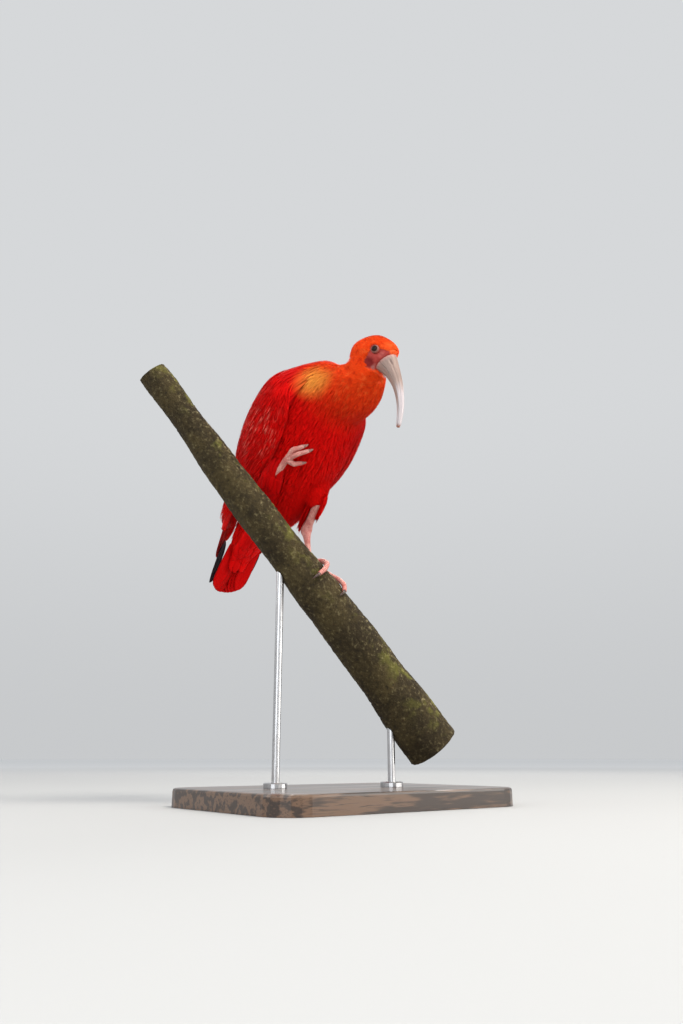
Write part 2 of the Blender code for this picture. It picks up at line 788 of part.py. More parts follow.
def wing_bed_lift(x, angle):
    """Height of the wing's bed over the guide at a distance along and an angle from the back."""
    top, low = eased(WING_EDGES, x)
    across = min(max((math.degrees(angle) - top) / (low - top), 0.0), 1.0)
    along = min(max((x - WING_EDGES[0][0]) / (WING_EDGES[-1][0] - WING_EDGES[0][0]), 0.0), 1.0)
    bulge = math.sin(math.pi * (0.04 + 0.92 * along)) * math.sin(math.pi * (0.06 + 0.88 * across))
    return 0.0012 + WING_BULGE * bulge**0.6


def guide_point(x, angle, offset, height, side):
    """Point over the wing's bed, offset across the feather's way."""
    _, half_width, reach_up, reach_down = eased(trunk_rows(), x)
    reach = reach_up if math.cos(angle) >= 0 else reach_down
    radius = math.hypot(half_width * math.cos(angle), reach * math.sin(angle))
    turned = angle + offset / radius
    return skin_point(x, turned, wing_bed_lift(x, turned) + height, side)


def vane(bm, place, width, heights, tilt, stations=VANE_STATIONS):
    """One feather as a thin closed vane. place gives the point at a length share, offset, height."""
    root, middle, tip = heights
    sink = stations[1][0]
    loops = []
    for share, breadth in stations:
        if share < 0.4:
            height = root + (middle - root) * min(1.0, share / sink)
        else:
            height = middle + (tip - middle) * (share - 0.4) / 0.6
        half = breadth * width / 2
        upper = [
            place(share, v, height + tilt * v + ridge)
            for v, ridge in ((-half, 0.0), (0.0, VANE_RIDGE), (half, 0.0))
        ]
        under = [
            place(share, v, height + tilt * v - thickness)
            for v, thickness in ((half, VANE_EDGE), (0.0, VANE_QUILL), (-half, VANE_EDGE))
        ]
        loops.append([bm.verts.new(point) for point in upper + under])
    for a, b in zip(loops, loops[1:]):
        for i in range(6):
            j = (i + 1) % 6
            if i < 3:
                bm.faces.new((a[i], a[j], b[j]))
                bm.faces.new((a[i], b[j], b[i]))
            else:
                bm.faces.new((a[i], a[j], b[i]))
                bm.faces.new((a[j], b[j], b[i]))
    for loop, order in ((loops[0], (0, 1, 4, 5, 1, 2, 3, 4)), (loops[-1], (5, 4, 1, 0, 4, 3, 2, 1))):
        bm.faces.new([loop[k] for k in order[:4]])
        bm.faces.new([loop[k] for k in order[4:]])


def wing_row(collection, frame, row, side):
    """The feathers of one row, the one nearer the back lying over the next."""
    root, tip, root_top, root_low, tip_top, tip_low, count, width, heights, shorter, deeper = row
    stations = LONG_STATIONS if root - tip > 0.08 else VANE_STATIONS
    tilt = 0.0 if deeper else VANE_TILT
    made = []
    for i in range(count):
        share = i / (count - 1)
        first = math.radians(root_top + (root_low - root_top) * share)
        last = math.radians(tip_top + (tip_low - tip_top) * share)
        end = tip + shorter * i

        def place(t, offset, height, first=first, last=last, end=end, depth=deeper * i):
            x = root + (end - root) * t
            return guide_point(x, first + (last - first) * t, offset, height - depth, side)

        data = mesh_of("vane", lambda bm: vane(bm, place, width, heights, tilt, stations))
        made.append(add_object(f"vane_{i}", data, collection, frame))
    return made


def build_wings(collection, frame):
    """Both folded wings in rows of feathers, cut to lie against the trunk, and their dark tips."""
    for word, side in (("left", 1), ("right", -1)):
        data = mesh_of(
            f"wing_{word}",
            lambda bm: bed(bm, WING_EDGES, side, 11, 8, lambda x, a: wing_bed_lift(x, a), WING_INSIDE),
        )
        wing = add_object(f"wing_{word}", data, collection, frame, "scarlet_deep")
        for row in WING_TIERS:
            combine(wing, wing_row(collection, frame, row, side), "UNION", "MANIFOLD")
        cutter = build_trunk(collection, frame, GAP, "trunk_cutter")
        combine(wing, [cutter], "DIFFERENCE", "MANIFOLD")

        inside, outside = PRIMARY_BED
        data = mesh_of(
            f"primaries_{word}",
            lambda bm: bed(bm, PRIMARY_EDGES, side, 3, 4, lambda x, a: outside, inside),
        )
        tips = add_object(f"primaries_{word}", data, collection, frame, "ink_black")
        combine(tips, wing_row(collection, frame, PRIMARY_TIER, side), "UNION", "MANIFOLD")


def tail_feathers(collection, frame, matrix):
    """Tail feathers in layers below the middle one, fanned a little to each side, and the coverts."""
    ways = [(0.0, TAIL_FEATHER_WIDTH * 1.15, 0, 0.0)]
    for layer in range(1, TAIL_PAIRS + 1):
        for side in (-1, 1):
            inner = TAIL_FEATHER_WIDTH / 2 + GAP
            ways.append((side * inner, TAIL_FEATHER_WIDTH, layer, side * TAIL_FAN * layer / TAIL_PAIRS))
    made = []
    for middle, width, layer, turn in ways:
        def place(t, offset, height, middle=middle, layer=layer, turn=turn):
            run = TAIL_FEATHER_ROOT + (TAIL_LENGTH - 0.0016 * layer - TAIL_FEATHER_ROOT) * t
            y = middle * (0.4 + 0.6 * min(1.0, t / 0.3)) + math.tan(turn) * run + offset
            return Vector((-run, y, 0.0026 - TAIL_LAYER * layer + height - 0.05 * abs(y)))

        data = mesh_of("vane", lambda bm: vane(bm, place, width, (0.0, 0.0, 0.0), 0.0))
        data.transform(matrix)
        made.append(add_object("vane", data, collection, frame))
    return made


def tail_covert_row(collection, frame, matrix, row):
    """One row of feathers lying on the tail's bed, above it or below it."""
    root, tip, reach, count, width, side = row
    made = []
    for i in range(count):
        way = -1.0 + 2.0 * i / (count - 1)
        lift = TAIL_COVERT_STEP * (i % 2)

        def place(t, offset, height, way=way, lift=lift):
            run = root + (tip - root) * t
            level, half_width, reach_up, reach_down = eased(TAIL_BED, min(run, TAIL_BED[-1][0]))
            bed_reach = reach_up if side > 0 else reach_down
            y = way * reach * (1.0 - 0.25 * t) + offset
            arch = math.sqrt(max(0.05, 1.0 - (y / (half_width + 0.004)) ** 2))
            return Vector((-run, y, level + side * (bed_reach * arch + height + lift * min(1.0, t / 0.3))))

        heights = (-0.0014, 0.0010, 0.0022)
        data = mesh_of("vane", lambda bm: vane(bm, place, width, heights, 0.0))
        data.transform(matrix)
        made.append(add_object("vane", data, collection, frame))
    return made


def build_tail(collection, frame):
    """The closed tail behind the trunk."""
    rows = [(-x, z, w, u, d) for x, z, w, u, d in reversed(TAIL_BED)]
    rings = section_rings(rows, spread(-TAIL_BED[-1][0], 0.0, 6), 16)
    data = mesh_of("tail", lambda bm: loft(bm, rings))
    sway = Matrix.Rotation(TAIL_SWAY, 4, "Z")
    matrix = Matrix.Translation(TAIL_ROOT) @ sway @ Matrix.Rotation(-TAIL_DROOP, 4, "Y")
    data.transform(matrix)
    tail = add_object("tail", data, collection, frame, "scarlet")
    combine(tail, tail_feathers(collection, frame, matrix), "UNION", "MANIFOLD")
    for row in TAIL_COVERTS:
        combine(tail, tail_covert_row(collection, frame, matrix, row), "UNION", "MANIFOLD")
    cutter = build_trunk(collection, frame, GAP, "trunk_cutter")
    combine(tail, [cutter], "DIFFERENCE", "MANIFOLD")


def build_standing_leg(collection, frame, body_to_world):
    """The left leg: feathered thigh, bare shank down to the ankle, and the foot on the branch."""
    knee = body_to_world @ THIGH_LEFT[-1][0]
    hock = GRIP_POINT + HOCK_LEFT
    pad = perch_surface(FOOT_RUN, math.radians(FOOT_BEARING), GAP + TOE_RADIUS)
    ankle = pad + (hock - pad).normalized() * ANKLE_HEIGHT
    towards = (hock - knee).normalized()
    down = body_to_world.to_3x3().inverted() @ towards
    points = [point for point, _ in THIGH_LEFT] + [THIGH_LEFT[-1][0] + down * 0.006]
    radii = [radius for _, radius in THIGH_LEFT] + [THIGH_LEFT[-1][1] * 0.9]
    data = mesh_of("thigh_left", lambda bm: loft(bm, tube_rings(points, radii, 16)))
    thigh = add_object("thigh_left", data, collection, frame, "scarlet")
    cutters = [
        build_trunk(collection, frame, GAP, "trunk_cutter"),
        half_space("knee_cutter", collection, frame, THIGH_LEFT[-1][0], down, 0.05),
    ]
    combine(thigh, cutters, "DIFFERENCE")

    start = knee + towards * (GAP * 2)
    line = [
        start,
        start.lerp(hock, 0.5),
        hock - towards * 0.008,
        hock,
        hock + (ankle - hock).normalized() * 0.009,
        hock.lerp(ankle, 0.55),
        ankle - (ankle - hock).normalized() * 0.004,
        ankle,
    ]
    radii = [
        SHANK_RADIUS,
        SHANK_RADIUS,
        HOCK_RADIUS * 0.85,
        HOCK_RADIUS,
        HOCK_RADIUS * 0.75,
        TARSUS_RADIUS,
        TARSUS_RADIUS * 1.05,
        TARSUS_RADIUS * 1.2,
    ]
    data = mesh_of("leg_left", lambda bm: loft(bm, tube_rings(line, radii, 12)))
    shank = add_object("leg_left", data, collection, colour="leg_pink")
    build_gripping_foot(collection, ankle)
    return shank


def build_gripping_foot(collection, ankle):
    """Toes that run from the ankle over the top of the branch and round it."""
    pad = perch_surface(FOOT_RUN, math.radians(FOOT_BEARING), GAP + TOE_RADIUS)
    toes = []
    for number, way in enumerate(TOES_LEFT):
        marks = [(i, *mark) for i, mark in enumerate(((FOOT_RUN, FOOT_BEARING), *way))]
        points, radii = [], []
        for place in spread(0.0, len(way), 11):
            run, bearing = eased(marks, place)
            radius = TOE_RADIUS + (TOE_TIP_RADIUS - TOE_RADIUS) * place / len(way)
            points.append(perch_surface(run, math.radians(bearing), GAP + radius * 1.06))
            radii.append(radius)
        run, bearing = way[-1][0], math.radians(way[-1][1])
        turn = math.copysign(CLAW_LENGTH / perch_radius(run), bearing)
        for share, radius in CLAW:
            points.append(perch_surface(run, bearing + turn * share, GAP + radius * 1.06))
            radii.append(radius)
        data = mesh_of("toe", lambda bm: loft(bm, tube_rings(points, radii, 8)))
        toes.append(add_object(f"toe_{number}", data, collection))
    data = mesh_of(
        "pad",
        lambda bm: loft(
            bm,
            tube_rings(
                [pad, pad.lerp(ankle, 0.5), ankle - (ankle - pad).normalized() * GAP],
                [TOE_RADIUS * 0.95, TARSUS_RADIUS * 1.25, TARSUS_RADIUS * 1.2],
                12,
            ),
        ),
    )
    foot = add_object("foot_left", data, collection, colour="leg_pink")
    combine(foot, toes, "UNION")


def build_raised_leg(collection, frame):
    """The right leg, drawn up against the belly with its toes closed."""
    def over(place):
        x, angle, lift = place
        return skin_point(x, math.radians(angle), lift, -1)

    hock, ankle = over(HOCK_RIGHT), over(ANKLE_RIGHT)
    middle = over(
        (
            (HOCK_RIGHT[0] + ANKLE_RIGHT[0]) / 2,
            (HOCK_RIGHT[1] + ANKLE_RIGHT[1]) / 2,
            0.004,
        )
    )
    line = [hock, hock.lerp(middle, 0.3), middle, ankle]
    radii = [HOCK_RADIUS, HOCK_RADIUS * 0.75, TARSUS_RADIUS, TARSUS_RADIUS * 1.1]
    data = mesh_of("leg_right", lambda bm: loft(bm, tube_rings(line, radii, 12)))
    shank = add_object("leg_right", data, collection, frame, "leg_pink")
    combine(shank, [build_trunk(collection, frame, GAP, "trunk_cutter")], "DIFFERENCE")

    toes = []
    ahead = (ankle - middle).normalized()
    root = ankle + ahead * (GAP * 2)
    for number, (bend, end) in enumerate(TOES_RIGHT):
        knuckle, tip = over(bend), over(end)
        points = [root, root.lerp(knuckle, 0.5), knuckle, knuckle.lerp(tip, 0.5), tip]
        radii = [TOE_RADIUS, TOE_RADIUS, TOE_RADIUS * 0.92, TOE_RADIUS * 0.82, TOE_TIP_RADIUS * 0.9]
        onward = (tip - knuckle).normalized() * CLAW_LENGTH
        points += [tip + onward * share for share, _ in CLAW]
        radii += [radius for _, radius in CLAW]
        data = mesh_of("toe", lambda bm: loft(bm, tube_rings(points, radii, 8)))
        toes.append(add_object(f"toe_{number}", data, collection, frame))
    data = mesh_of(
        "foot_right",
        lambda bm: loft(bm, tube_rings([root, root + ahead * 0.006], [TARSUS_RADIUS * 1.1] * 2, 12)),
    )
    foot = add_object("foot_right", data, collection, frame, "leg_pink")
    combine(foot, toes, "UNION")
    cutters = [
        build_trunk(collection, frame, GAP, "trunk_cutter"),
        half_space("ankle_cutter", collection, frame, ankle + ahead * GAP, -ahead, 0.03),
    ]
    combine(foot, cutters, "DIFFERENCE")


def main():
    """Build the whole model."""
    clear_scene()
    model = bpy.data.collections.new("scarlet_ibis")
    bpy.context.scene.collection.children.link(model)
    body_to_world = Matrix.Translation(GRIP_POINT + BODY_OVER_GRIP) @ Matrix.Rotation(-BODY_PITCH, 4, "Y")
    head_to_world = (
        Matrix.Translation(GRIP_POINT + HEAD_OVER_GRIP)
        @ Matrix.Rotation(HEAD_TURN, 4, "Z")
        @ Matrix.Rotation(HEAD_DOWN, 4, "Y")
    )
    body_frame = add_frame("body_frame", model, body_to_world)
    head_frame = add_frame("head_frame", model, head_to_world)
    bpy.context.view_layer.update()

    build_stand(model)
    build_perch(model)
    build_trunk(model, body_frame)
    build_head(model, body_frame, head_frame)
    build_bill(model, head_frame)
    build_wings(model, body_frame)
    build_tail(model, body_frame)
    build_standing_leg(model, body_frame, body_to_world)
    build_raised_leg(model, body_frame)


main()
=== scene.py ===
"""Looks of the scarlet ibis display model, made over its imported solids.

One skin carries a coat of contour feathers and silky wisps. The folded wings and the tail are
laid feather by feather. Bill, eyes, legs, claws, branch and stand are pieces of their own.
Metres, +Z up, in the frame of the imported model.
"""

import json
import logging
import math
from collections.abc import Callable, Sequence
from dataclasses import dataclass, field
from enum import Enum
from itertools import product

import bpy
import numpy as np
from mathutils import Matrix, Vector, noise
from mathutils.bvhtree import BVHTree

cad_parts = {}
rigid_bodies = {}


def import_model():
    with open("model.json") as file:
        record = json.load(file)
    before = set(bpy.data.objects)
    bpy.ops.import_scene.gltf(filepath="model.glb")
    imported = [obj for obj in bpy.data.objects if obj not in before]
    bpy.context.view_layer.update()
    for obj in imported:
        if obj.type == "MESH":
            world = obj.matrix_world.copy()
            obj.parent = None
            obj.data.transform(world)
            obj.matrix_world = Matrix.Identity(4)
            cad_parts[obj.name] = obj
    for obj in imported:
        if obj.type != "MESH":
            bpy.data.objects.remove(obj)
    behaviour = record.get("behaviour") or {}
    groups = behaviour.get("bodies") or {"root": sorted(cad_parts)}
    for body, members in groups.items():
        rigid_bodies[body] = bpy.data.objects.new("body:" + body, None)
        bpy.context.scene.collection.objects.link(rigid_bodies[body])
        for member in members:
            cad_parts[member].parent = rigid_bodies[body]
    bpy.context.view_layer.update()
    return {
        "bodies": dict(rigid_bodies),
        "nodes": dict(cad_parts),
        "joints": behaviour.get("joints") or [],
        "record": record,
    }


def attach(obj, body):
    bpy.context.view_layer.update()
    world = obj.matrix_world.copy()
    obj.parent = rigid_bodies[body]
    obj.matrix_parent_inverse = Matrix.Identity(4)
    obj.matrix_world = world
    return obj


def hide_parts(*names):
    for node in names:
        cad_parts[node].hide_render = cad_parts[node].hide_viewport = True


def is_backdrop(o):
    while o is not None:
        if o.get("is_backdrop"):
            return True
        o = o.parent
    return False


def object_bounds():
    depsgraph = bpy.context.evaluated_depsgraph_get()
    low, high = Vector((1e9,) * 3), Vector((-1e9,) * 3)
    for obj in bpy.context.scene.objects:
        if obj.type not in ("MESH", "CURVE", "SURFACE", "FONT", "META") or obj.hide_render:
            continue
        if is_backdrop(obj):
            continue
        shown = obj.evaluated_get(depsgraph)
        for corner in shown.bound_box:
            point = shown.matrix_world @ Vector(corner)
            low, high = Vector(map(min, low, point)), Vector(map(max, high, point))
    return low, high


LOG = logging.getLogger("scarlet_ibis")

Array = np.ndarray
Piece = bpy.types.Object
Material = bpy.types.Material
Socket = bpy.types.NodeSocket
Rows = Sequence[Sequence[float]]
Place = Callable[[Array, Array], Array]

# Air between pieces that touch
GAP = 0.0003

# The grip of the standing foot, and the frames of the body and the head over it
GRIP = Vector((-0.0059, -0.0261, 0.2486))
BODY = Matrix.Translation(GRIP + Vector((-0.0364, -0.0149, 0.1474))) @ Matrix.Rotation(
    -math.radians(43.0), 4, "Y"
)
HEAD = (
    Matrix.Translation(GRIP + Vector((0.0980, -0.0136, 0.2152)))
    @ Matrix.Rotation(math.radians(20.0), 4, "Z")
    @ Matrix.Rotation(math.radians(41.0), 4, "Y")
)

# Trunk: distance along the body, middle height, half width, reach up, reach down
TRUNK: Rows = (
    (-0.104, 0.004, 0.024, 0.014, 0.037),
    (-0.090, 0.003, 0.033, 0.023, 0.050),
    (-0.060, 0.001, 0.046, 0.037, 0.059),
    (-0.025, 0.000, 0.056, 0.048, 0.0625),
    (0.010, 0.000, 0.061, 0.053, 0.065),
    (0.040, 0.000, 0.061, 0.053, 0.063),
    (0.065, -0.001, 0.058, 0.048, 0.060),
    (0.085, -0.004, 0.049, 0.038, 0.052),
    (0.101, -0.009, 0.036, 0.025, 0.039),
    (0.111, -0.012, 0.024, 0.016, 0.027),
    (0.116, -0.013, 0.012, 0.009, 0.015),
)
# Surface that the folded wings follow, from beyond the tail's root to the shoulders
GUIDE: Rows = (
    (-0.204, -0.003, 0.028, 0.012, 0.012),
    (-0.168, 0.000, 0.033, 0.017, 0.017),
    (-0.136, 0.001, 0.037, 0.024, 0.028),
    (-0.100, 0.001, 0.042, 0.032, 0.042),
) + tuple(TRUNK[2:])
# Neck: place in a row, point in the body's frame, half width, half depth
NECK: Rows = (
    (0.0, 0.050, 0.000, -0.008, 0.0440, 0.0420),
    (1.0, 0.078, 0.002, -0.026, 0.0415, 0.0360),
    (2.0, 0.101, 0.005, -0.044, 0.0350, 0.0315),
    (3.0, 0.120, 0.004, -0.053, 0.0275, 0.0260),
    (4.0, 0.132, 0.001, -0.051, 0.0210, 0.0210),
    (5.0, 0.141, -0.001, -0.045, 0.0150, 0.0155),
)
# Skull: distance towards the bill, middle height, half width, reach up, reach down
SKULL: Rows = (
    (-0.0165, -0.003, 0.0050, 0.0045, 0.0050),
    (-0.0130, -0.0024, 0.0110, 0.0098, 0.0114),
    (-0.0055, -0.0008, 0.0158, 0.0176, 0.0170),
    (0.0040, 0.000, 0.0182, 0.0232, 0.0190),
    (0.0150, 0.001, 0.0172, 0.0234, 0.0182),
    (0.0230, 0.002, 0.0146, 0.0204, 0.0158),
    (0.0285, 0.0022, 0.0112, 0.0156, 0.0134),
)
# Lean of the face's front edge over the bill, and the height of the bill's root
FACE_LEAN = 0.40
BILL_BASE_Z = 0.0013
EYE_AT = Vector((0.0176, 0.0124, 0.0060))
# Thigh: points in the body's frame, and the radius at each
THIGH = (
    (Vector((-0.014, 0.016, -0.038)), 0.0225),
    (Vector((-0.025, 0.0175, -0.051)), 0.0185),
    (Vector((-0.0355, 0.0185, -0.0670)), 0.0098),
)
# Hock of the standing leg, from the grip
HOCK = Vector((-0.040, 0.006, 0.052))
# The hip and the knee of that leg
HIP, KNEE = (BODY @ THIGH[end][0] for end in (0, -1))
# Bed of the folded wing: distance along, upper and lower edge as angles from the back
WING_EDGES: Rows = (
    (-0.132, 22.0, 82.0),
    (-0.100, 13.0, 98.0),
    (-0.070, 9.0, 112.0),
    (-0.035, 9.0, 123.0),
    (0.000, 11.0, 130.0),
    (0.035, 16.0, 129.0),
    (0.060, 28.0, 121.0),
    (0.076, 42.0, 109.0),
)
WING_BULGE = 0.0032
# The tail's root in the body's frame
TAIL = (
    Matrix.Translation(Vector((-0.1043, 0.0, 0.004)))
    @ Matrix.Rotation(math.radians(0.8), 4, "Z")
    @ Matrix.Rotation(-math.radians(4.5), 4, "Y")
)
# Bed of the tail: distance behind its root, middle height, half width, reach up, reach down
TAIL_BED: Rows = (
    (0.0, 0.0000, 0.0235, 0.0135, 0.0325),
    (0.020, -0.0005, 0.0225, 0.0095, 0.0205),
    (0.042, -0.0010, 0.0185, 0.0050, 0.0105),
    (0.056, -0.0012, 0.0120, 0.0022, 0.0045),
)
# Places drawn for each one that is kept, and the length below which a feather is a small one
CROWDING = 3.2
SMALL_FEATHER = 0.0078
# Body's place from which the wisps count as the front's
FRONT_FROM = 0.062
# Distance along the body and the feathers' length there, and feather length and the coat's depth
FEATHER_LENGTHS: Rows = (
    (-0.13, 0.017), (-0.06, 0.020), (0.0, 0.019), (0.06, 0.015), (0.10, 0.0115), (0.14, 0.0085)
)
COAT_DEPTHS: Rows = ((0.0034, 0.0009), (0.008, 0.0019), (0.013, 0.0024), (0.02, 0.0027))
# How deep the coat lies over the skin
HEAD_COAT = 0.0013
NECK_COAT = 0.0026
TRUNK_COAT = 0.0030
THIGH_COAT = 0.0022
TAIL_COAT = 0.0012
# Size of a feather's patch on the unwrap, and the share of its length where it bends
BAKE_PATCH = 0.003
BEND_AT = 0.4


class Side(Enum):
    """A side of the bird, as the sign of its Y axis."""

    LEFT = 1
    RIGHT = -1

    @property
    def word(self) -> str:
        """The side's name in a piece's name."""
        return self.name.lower()


class BakeArea(Enum):
    """Where a part of the plumage lies on the unwrap: lowest u and v, width and height."""

    TRUNK = (0.01, 0.01, 0.62, 0.50)
    HEAD = (0.01, 0.54, 0.62, 0.44)
    WING_LEFT = (0.66, 0.01, 0.33, 0.30)
    WING_RIGHT = (0.66, 0.34, 0.33, 0.30)
    TAIL = (0.66, 0.68, 0.33, 0.30)

    def spot(self, across: Array, along: Array) -> Array:
        """UV places from shares of the area.

        Args:
            across: Share of the width, 0 to 1.
            along: Share of the height, 0 to 1.

        Returns:
            The UV places, one row each.
        """
        low_u, low_v, width, height = self.value
        return np.stack(
            [low_u + width * np.clip(across, 0, 1), low_v + height * np.clip(along, 0, 1)], -1
        )


def smooth_rows(rows: Rows, x: Array | float) -> Array:
    """The columns of a table at x, on a smooth curve through its rows.

    Args:
        rows: The table, its first column rising.
        x: Places in the first column.

    Returns:
        The other columns, in the last axis.
    """
    table = np.asarray(rows, float)
    last = len(table) - 1
    x = np.clip(np.asarray(x, float), table[0, 0], table[-1, 0])
    k = np.clip(np.searchsorted(table[:, 0], x, side="right") - 1, 0, last - 1)
    before, here, there, after = (table[np.clip(k + i, 0, last)] for i in (-1, 0, 1, 2))
    span = (there[..., 0] - here[..., 0])[..., None]
    t = (x - here[..., 0])[..., None] / span
    slope_in = (there[..., 1:] - before[..., 1:]) / (there[..., :1] - before[..., :1]) * span
    slope_out = (after[..., 1:] - here[..., 1:]) / (after[..., :1] - here[..., :1]) * span
    return (
        (2 * t**3 - 3 * t**2 + 1) * here[..., 1:]
        + (t**3 - 2 * t**2 + t) * slope_in
        + (3 * t**2 - 2 * t**3) * there[..., 1:]
        + (t**3 - t**2) * slope_out
    )


def columns(rows: Rows, x: Array) -> Array:
    """The columns of a table at x, one array each."""
    return np.moveaxis(smooth_rows(rows, x), -1, 0)


def each(values: Array) -> Array:
    """Values of the feathers, shaped to meet every station and side of them."""
    return values[:, None, None]


def distances(points: Array, centre: Array | float = 0.0) -> Array:
    """Distances of points from a centre."""
    return np.linalg.norm(points - centre, axis=1)


def read(rows: object, key: str, kind: type = float) -> Array:
    """Three values of every element of a mesh, one row each."""
    flat = np.empty(len(rows) * 3, kind)
    rows.foreach_get(key, flat)
    return flat.reshape(-1, 3)


def stepped(low: float, high: float, value: Array) -> Array:
    """A smooth step from 0 at low to 1 at high."""
    t = np.clip((value - low) / (high - low), 0.0, 1.0)
    return t * t * (3 - 2 * t)


def in_world(points: Array, frame: Matrix) -> Array:
    """Points of a frame in the model's own frame."""
    matrix = np.array(frame)
    return points @ matrix[:3, :3].T + matrix[:3, 3]


def in_frame(points: Array, frame: Matrix) -> Array:
    """Points of the model in another frame."""
    return in_world(points, frame.inverted())


def unit(vectors: Array) -> Array:
    """Vectors at length one."""
    return vectors / np.maximum(np.linalg.norm(vectors, axis=-1, keepdims=True), 1e-12)


def over_guide(x: Array, angle: Array, lift: Array, side: Side) -> Array:
    """Points over the guide, in the body's frame.

    Args:
        x: Distance along the body.
        angle: Angle from the back over one side, in radians.
        lift: Height over the surface.
        side: Which side.

    Returns:
        The points.
    """
    x, angle, lift = np.broadcast_arrays(x, angle, lift)
    height, half_width, up, down = columns(GUIDE, x)
    sine, cosine = np.sin(angle), np.cos(angle)
    reach = np.where(cosine >= 0, up, down)
    outward = unit(np.stack([sine / half_width, cosine / reach], -1))
    y = half_width * sine + lift * outward[..., 0]
    z = height + reach * cosine + lift * outward[..., 1]
    return np.stack([x, y * side.value, z], -1)


def select_only(*pieces: Piece) -> None:
    """Select these pieces alone and make the first active."""
    bpy.ops.object.select_all(action="DESELECT")
    for piece in pieces:
        piece.select_set(True)
    bpy.context.view_layer.objects.active = pieces[0]


def dress(piece: Piece, *materials: Material) -> Piece:
    """Give a piece these materials and shade it smooth."""
    piece.data.materials.clear()
    for material in materials:
        piece.data.materials.append(material)
    select_only(piece)
    bpy.ops.object.shade_smooth()
    return piece


def hand_over(piece: Piece, slot: str, *nodes: str) -> Piece:
    """Let a finished piece ride and replace its nodes."""
    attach(piece, "root")
    if nodes:
        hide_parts(*nodes)
    LOG.info("%s: %d faces", piece.name, len(piece.data.polygons))
    return piece


def closed_form(name: str, around: int, along: int, place: Place, poles: bool = True) -> Piece:
    """A closed tube, pod or ring, shaped from a grid whose sides meet.

    Args:
        name: Name of the piece.
        around: Faces round it.
        along: Faces along it.
        place: Gives the points for shares round (0 to 1) and along (0 to 1).
        poles: Whether each end is drawn to a point.

    Returns:
        The new piece, with the shares in the UV map called form.
    """
    bpy.ops.object.select_all(action="DESELECT")
    bpy.ops.mesh.primitive_grid_add(x_subdivisions=around, y_subdivisions=along, size=1.0)
    piece = bpy.context.object
    piece.name = piece.data.name = name
    mesh = piece.data
    shares = np.clip(read(mesh.vertices, "co")[:, :2] + 0.5, 0.0, 1.0)
    corners = np.empty(len(mesh.loops), np.int32)
    mesh.loops.foreach_get("vertex_index", corners)
    while mesh.uv_layers:
        mesh.uv_layers.remove(mesh.uv_layers[0])
    mesh.uv_layers.new(name="form").data.foreach_set("uv", shares[corners].astype(np.float32).ravel())
    round_share = np.where(shares[:, 0] > 0.99999, 0.0, shares[:, 0])
    points = place(round_share, shares[:, 1])
    for end in (0.0, 1.0) if poles else ():
        rim = np.abs(shares[:, 1] - end) < 1e-6
        points[rim] = points[rim].mean(0)
    mesh.vertices.foreach_set("co", points.astype(np.float32).ravel())
    mesh.update()
    select_only(piece)
    bpy.ops.object.mode_set(mode="EDIT")
    bpy.ops.mesh.select_all(action="SELECT")
    bpy.ops.mesh.remove_doubles(threshold=1e-7)
    bpy.ops.mesh.normals_make_consistent(inside=False)
    bpy.ops.object.mode_set(mode="OBJECT")
    return piece


def swept(points: Sequence[Vector], radii: Sequence[float], relief: Place | None = None) -> Place:
    """A round form along a bent line, its rings square to the line.

    Args:
        points: Marks on the line.
        radii: Radius at each mark.
        relief: Height to add, from the shares round and along.

    Returns:
        The function that places a closed form.
    """
    marks = [(i, *point, radius) for i, (point, radius) in enumerate(zip(points, radii))]
    count = 240
    line = smooth_rows(marks, np.linspace(0.0, len(marks) - 1.0, count))
    run = np.concatenate([[0.0], np.cumsum(np.linalg.norm(np.diff(line[:, :3], axis=0), axis=1))])
    table = np.column_stack([run / run[-1], line])
    ahead = unit(np.gradient(line[:, :3], axis=0))
    side = np.empty_like(ahead)
    held = np.array(Vector(ahead[0]).orthogonal().normalized())
    for i, way in enumerate(ahead):
        held = held - way * held.dot(way)
        held /= np.linalg.norm(held)
        side[i] = held
    up = np.cross(ahead, side)

    def place(around: Array, along: Array) -> Array:
        """Points of the swept form."""
        at = [np.interp(along, table[:, 0], column) for column in table[:, 1:].T]
        sides = [np.interp(along, table[:, 0], column) for column in side.T]
        ups = [np.interp(along, table[:, 0], column) for column in up.T]
        turn = math.tau * around
        radius = at[3] + (relief(around, along) if relief else 0.0)
        out = [
            at[k] + radius * (sides[k] * np.cos(turn) + ups[k] * np.sin(turn)) for k in range(3)
        ]
        return np.stack(out, -1)

    return place


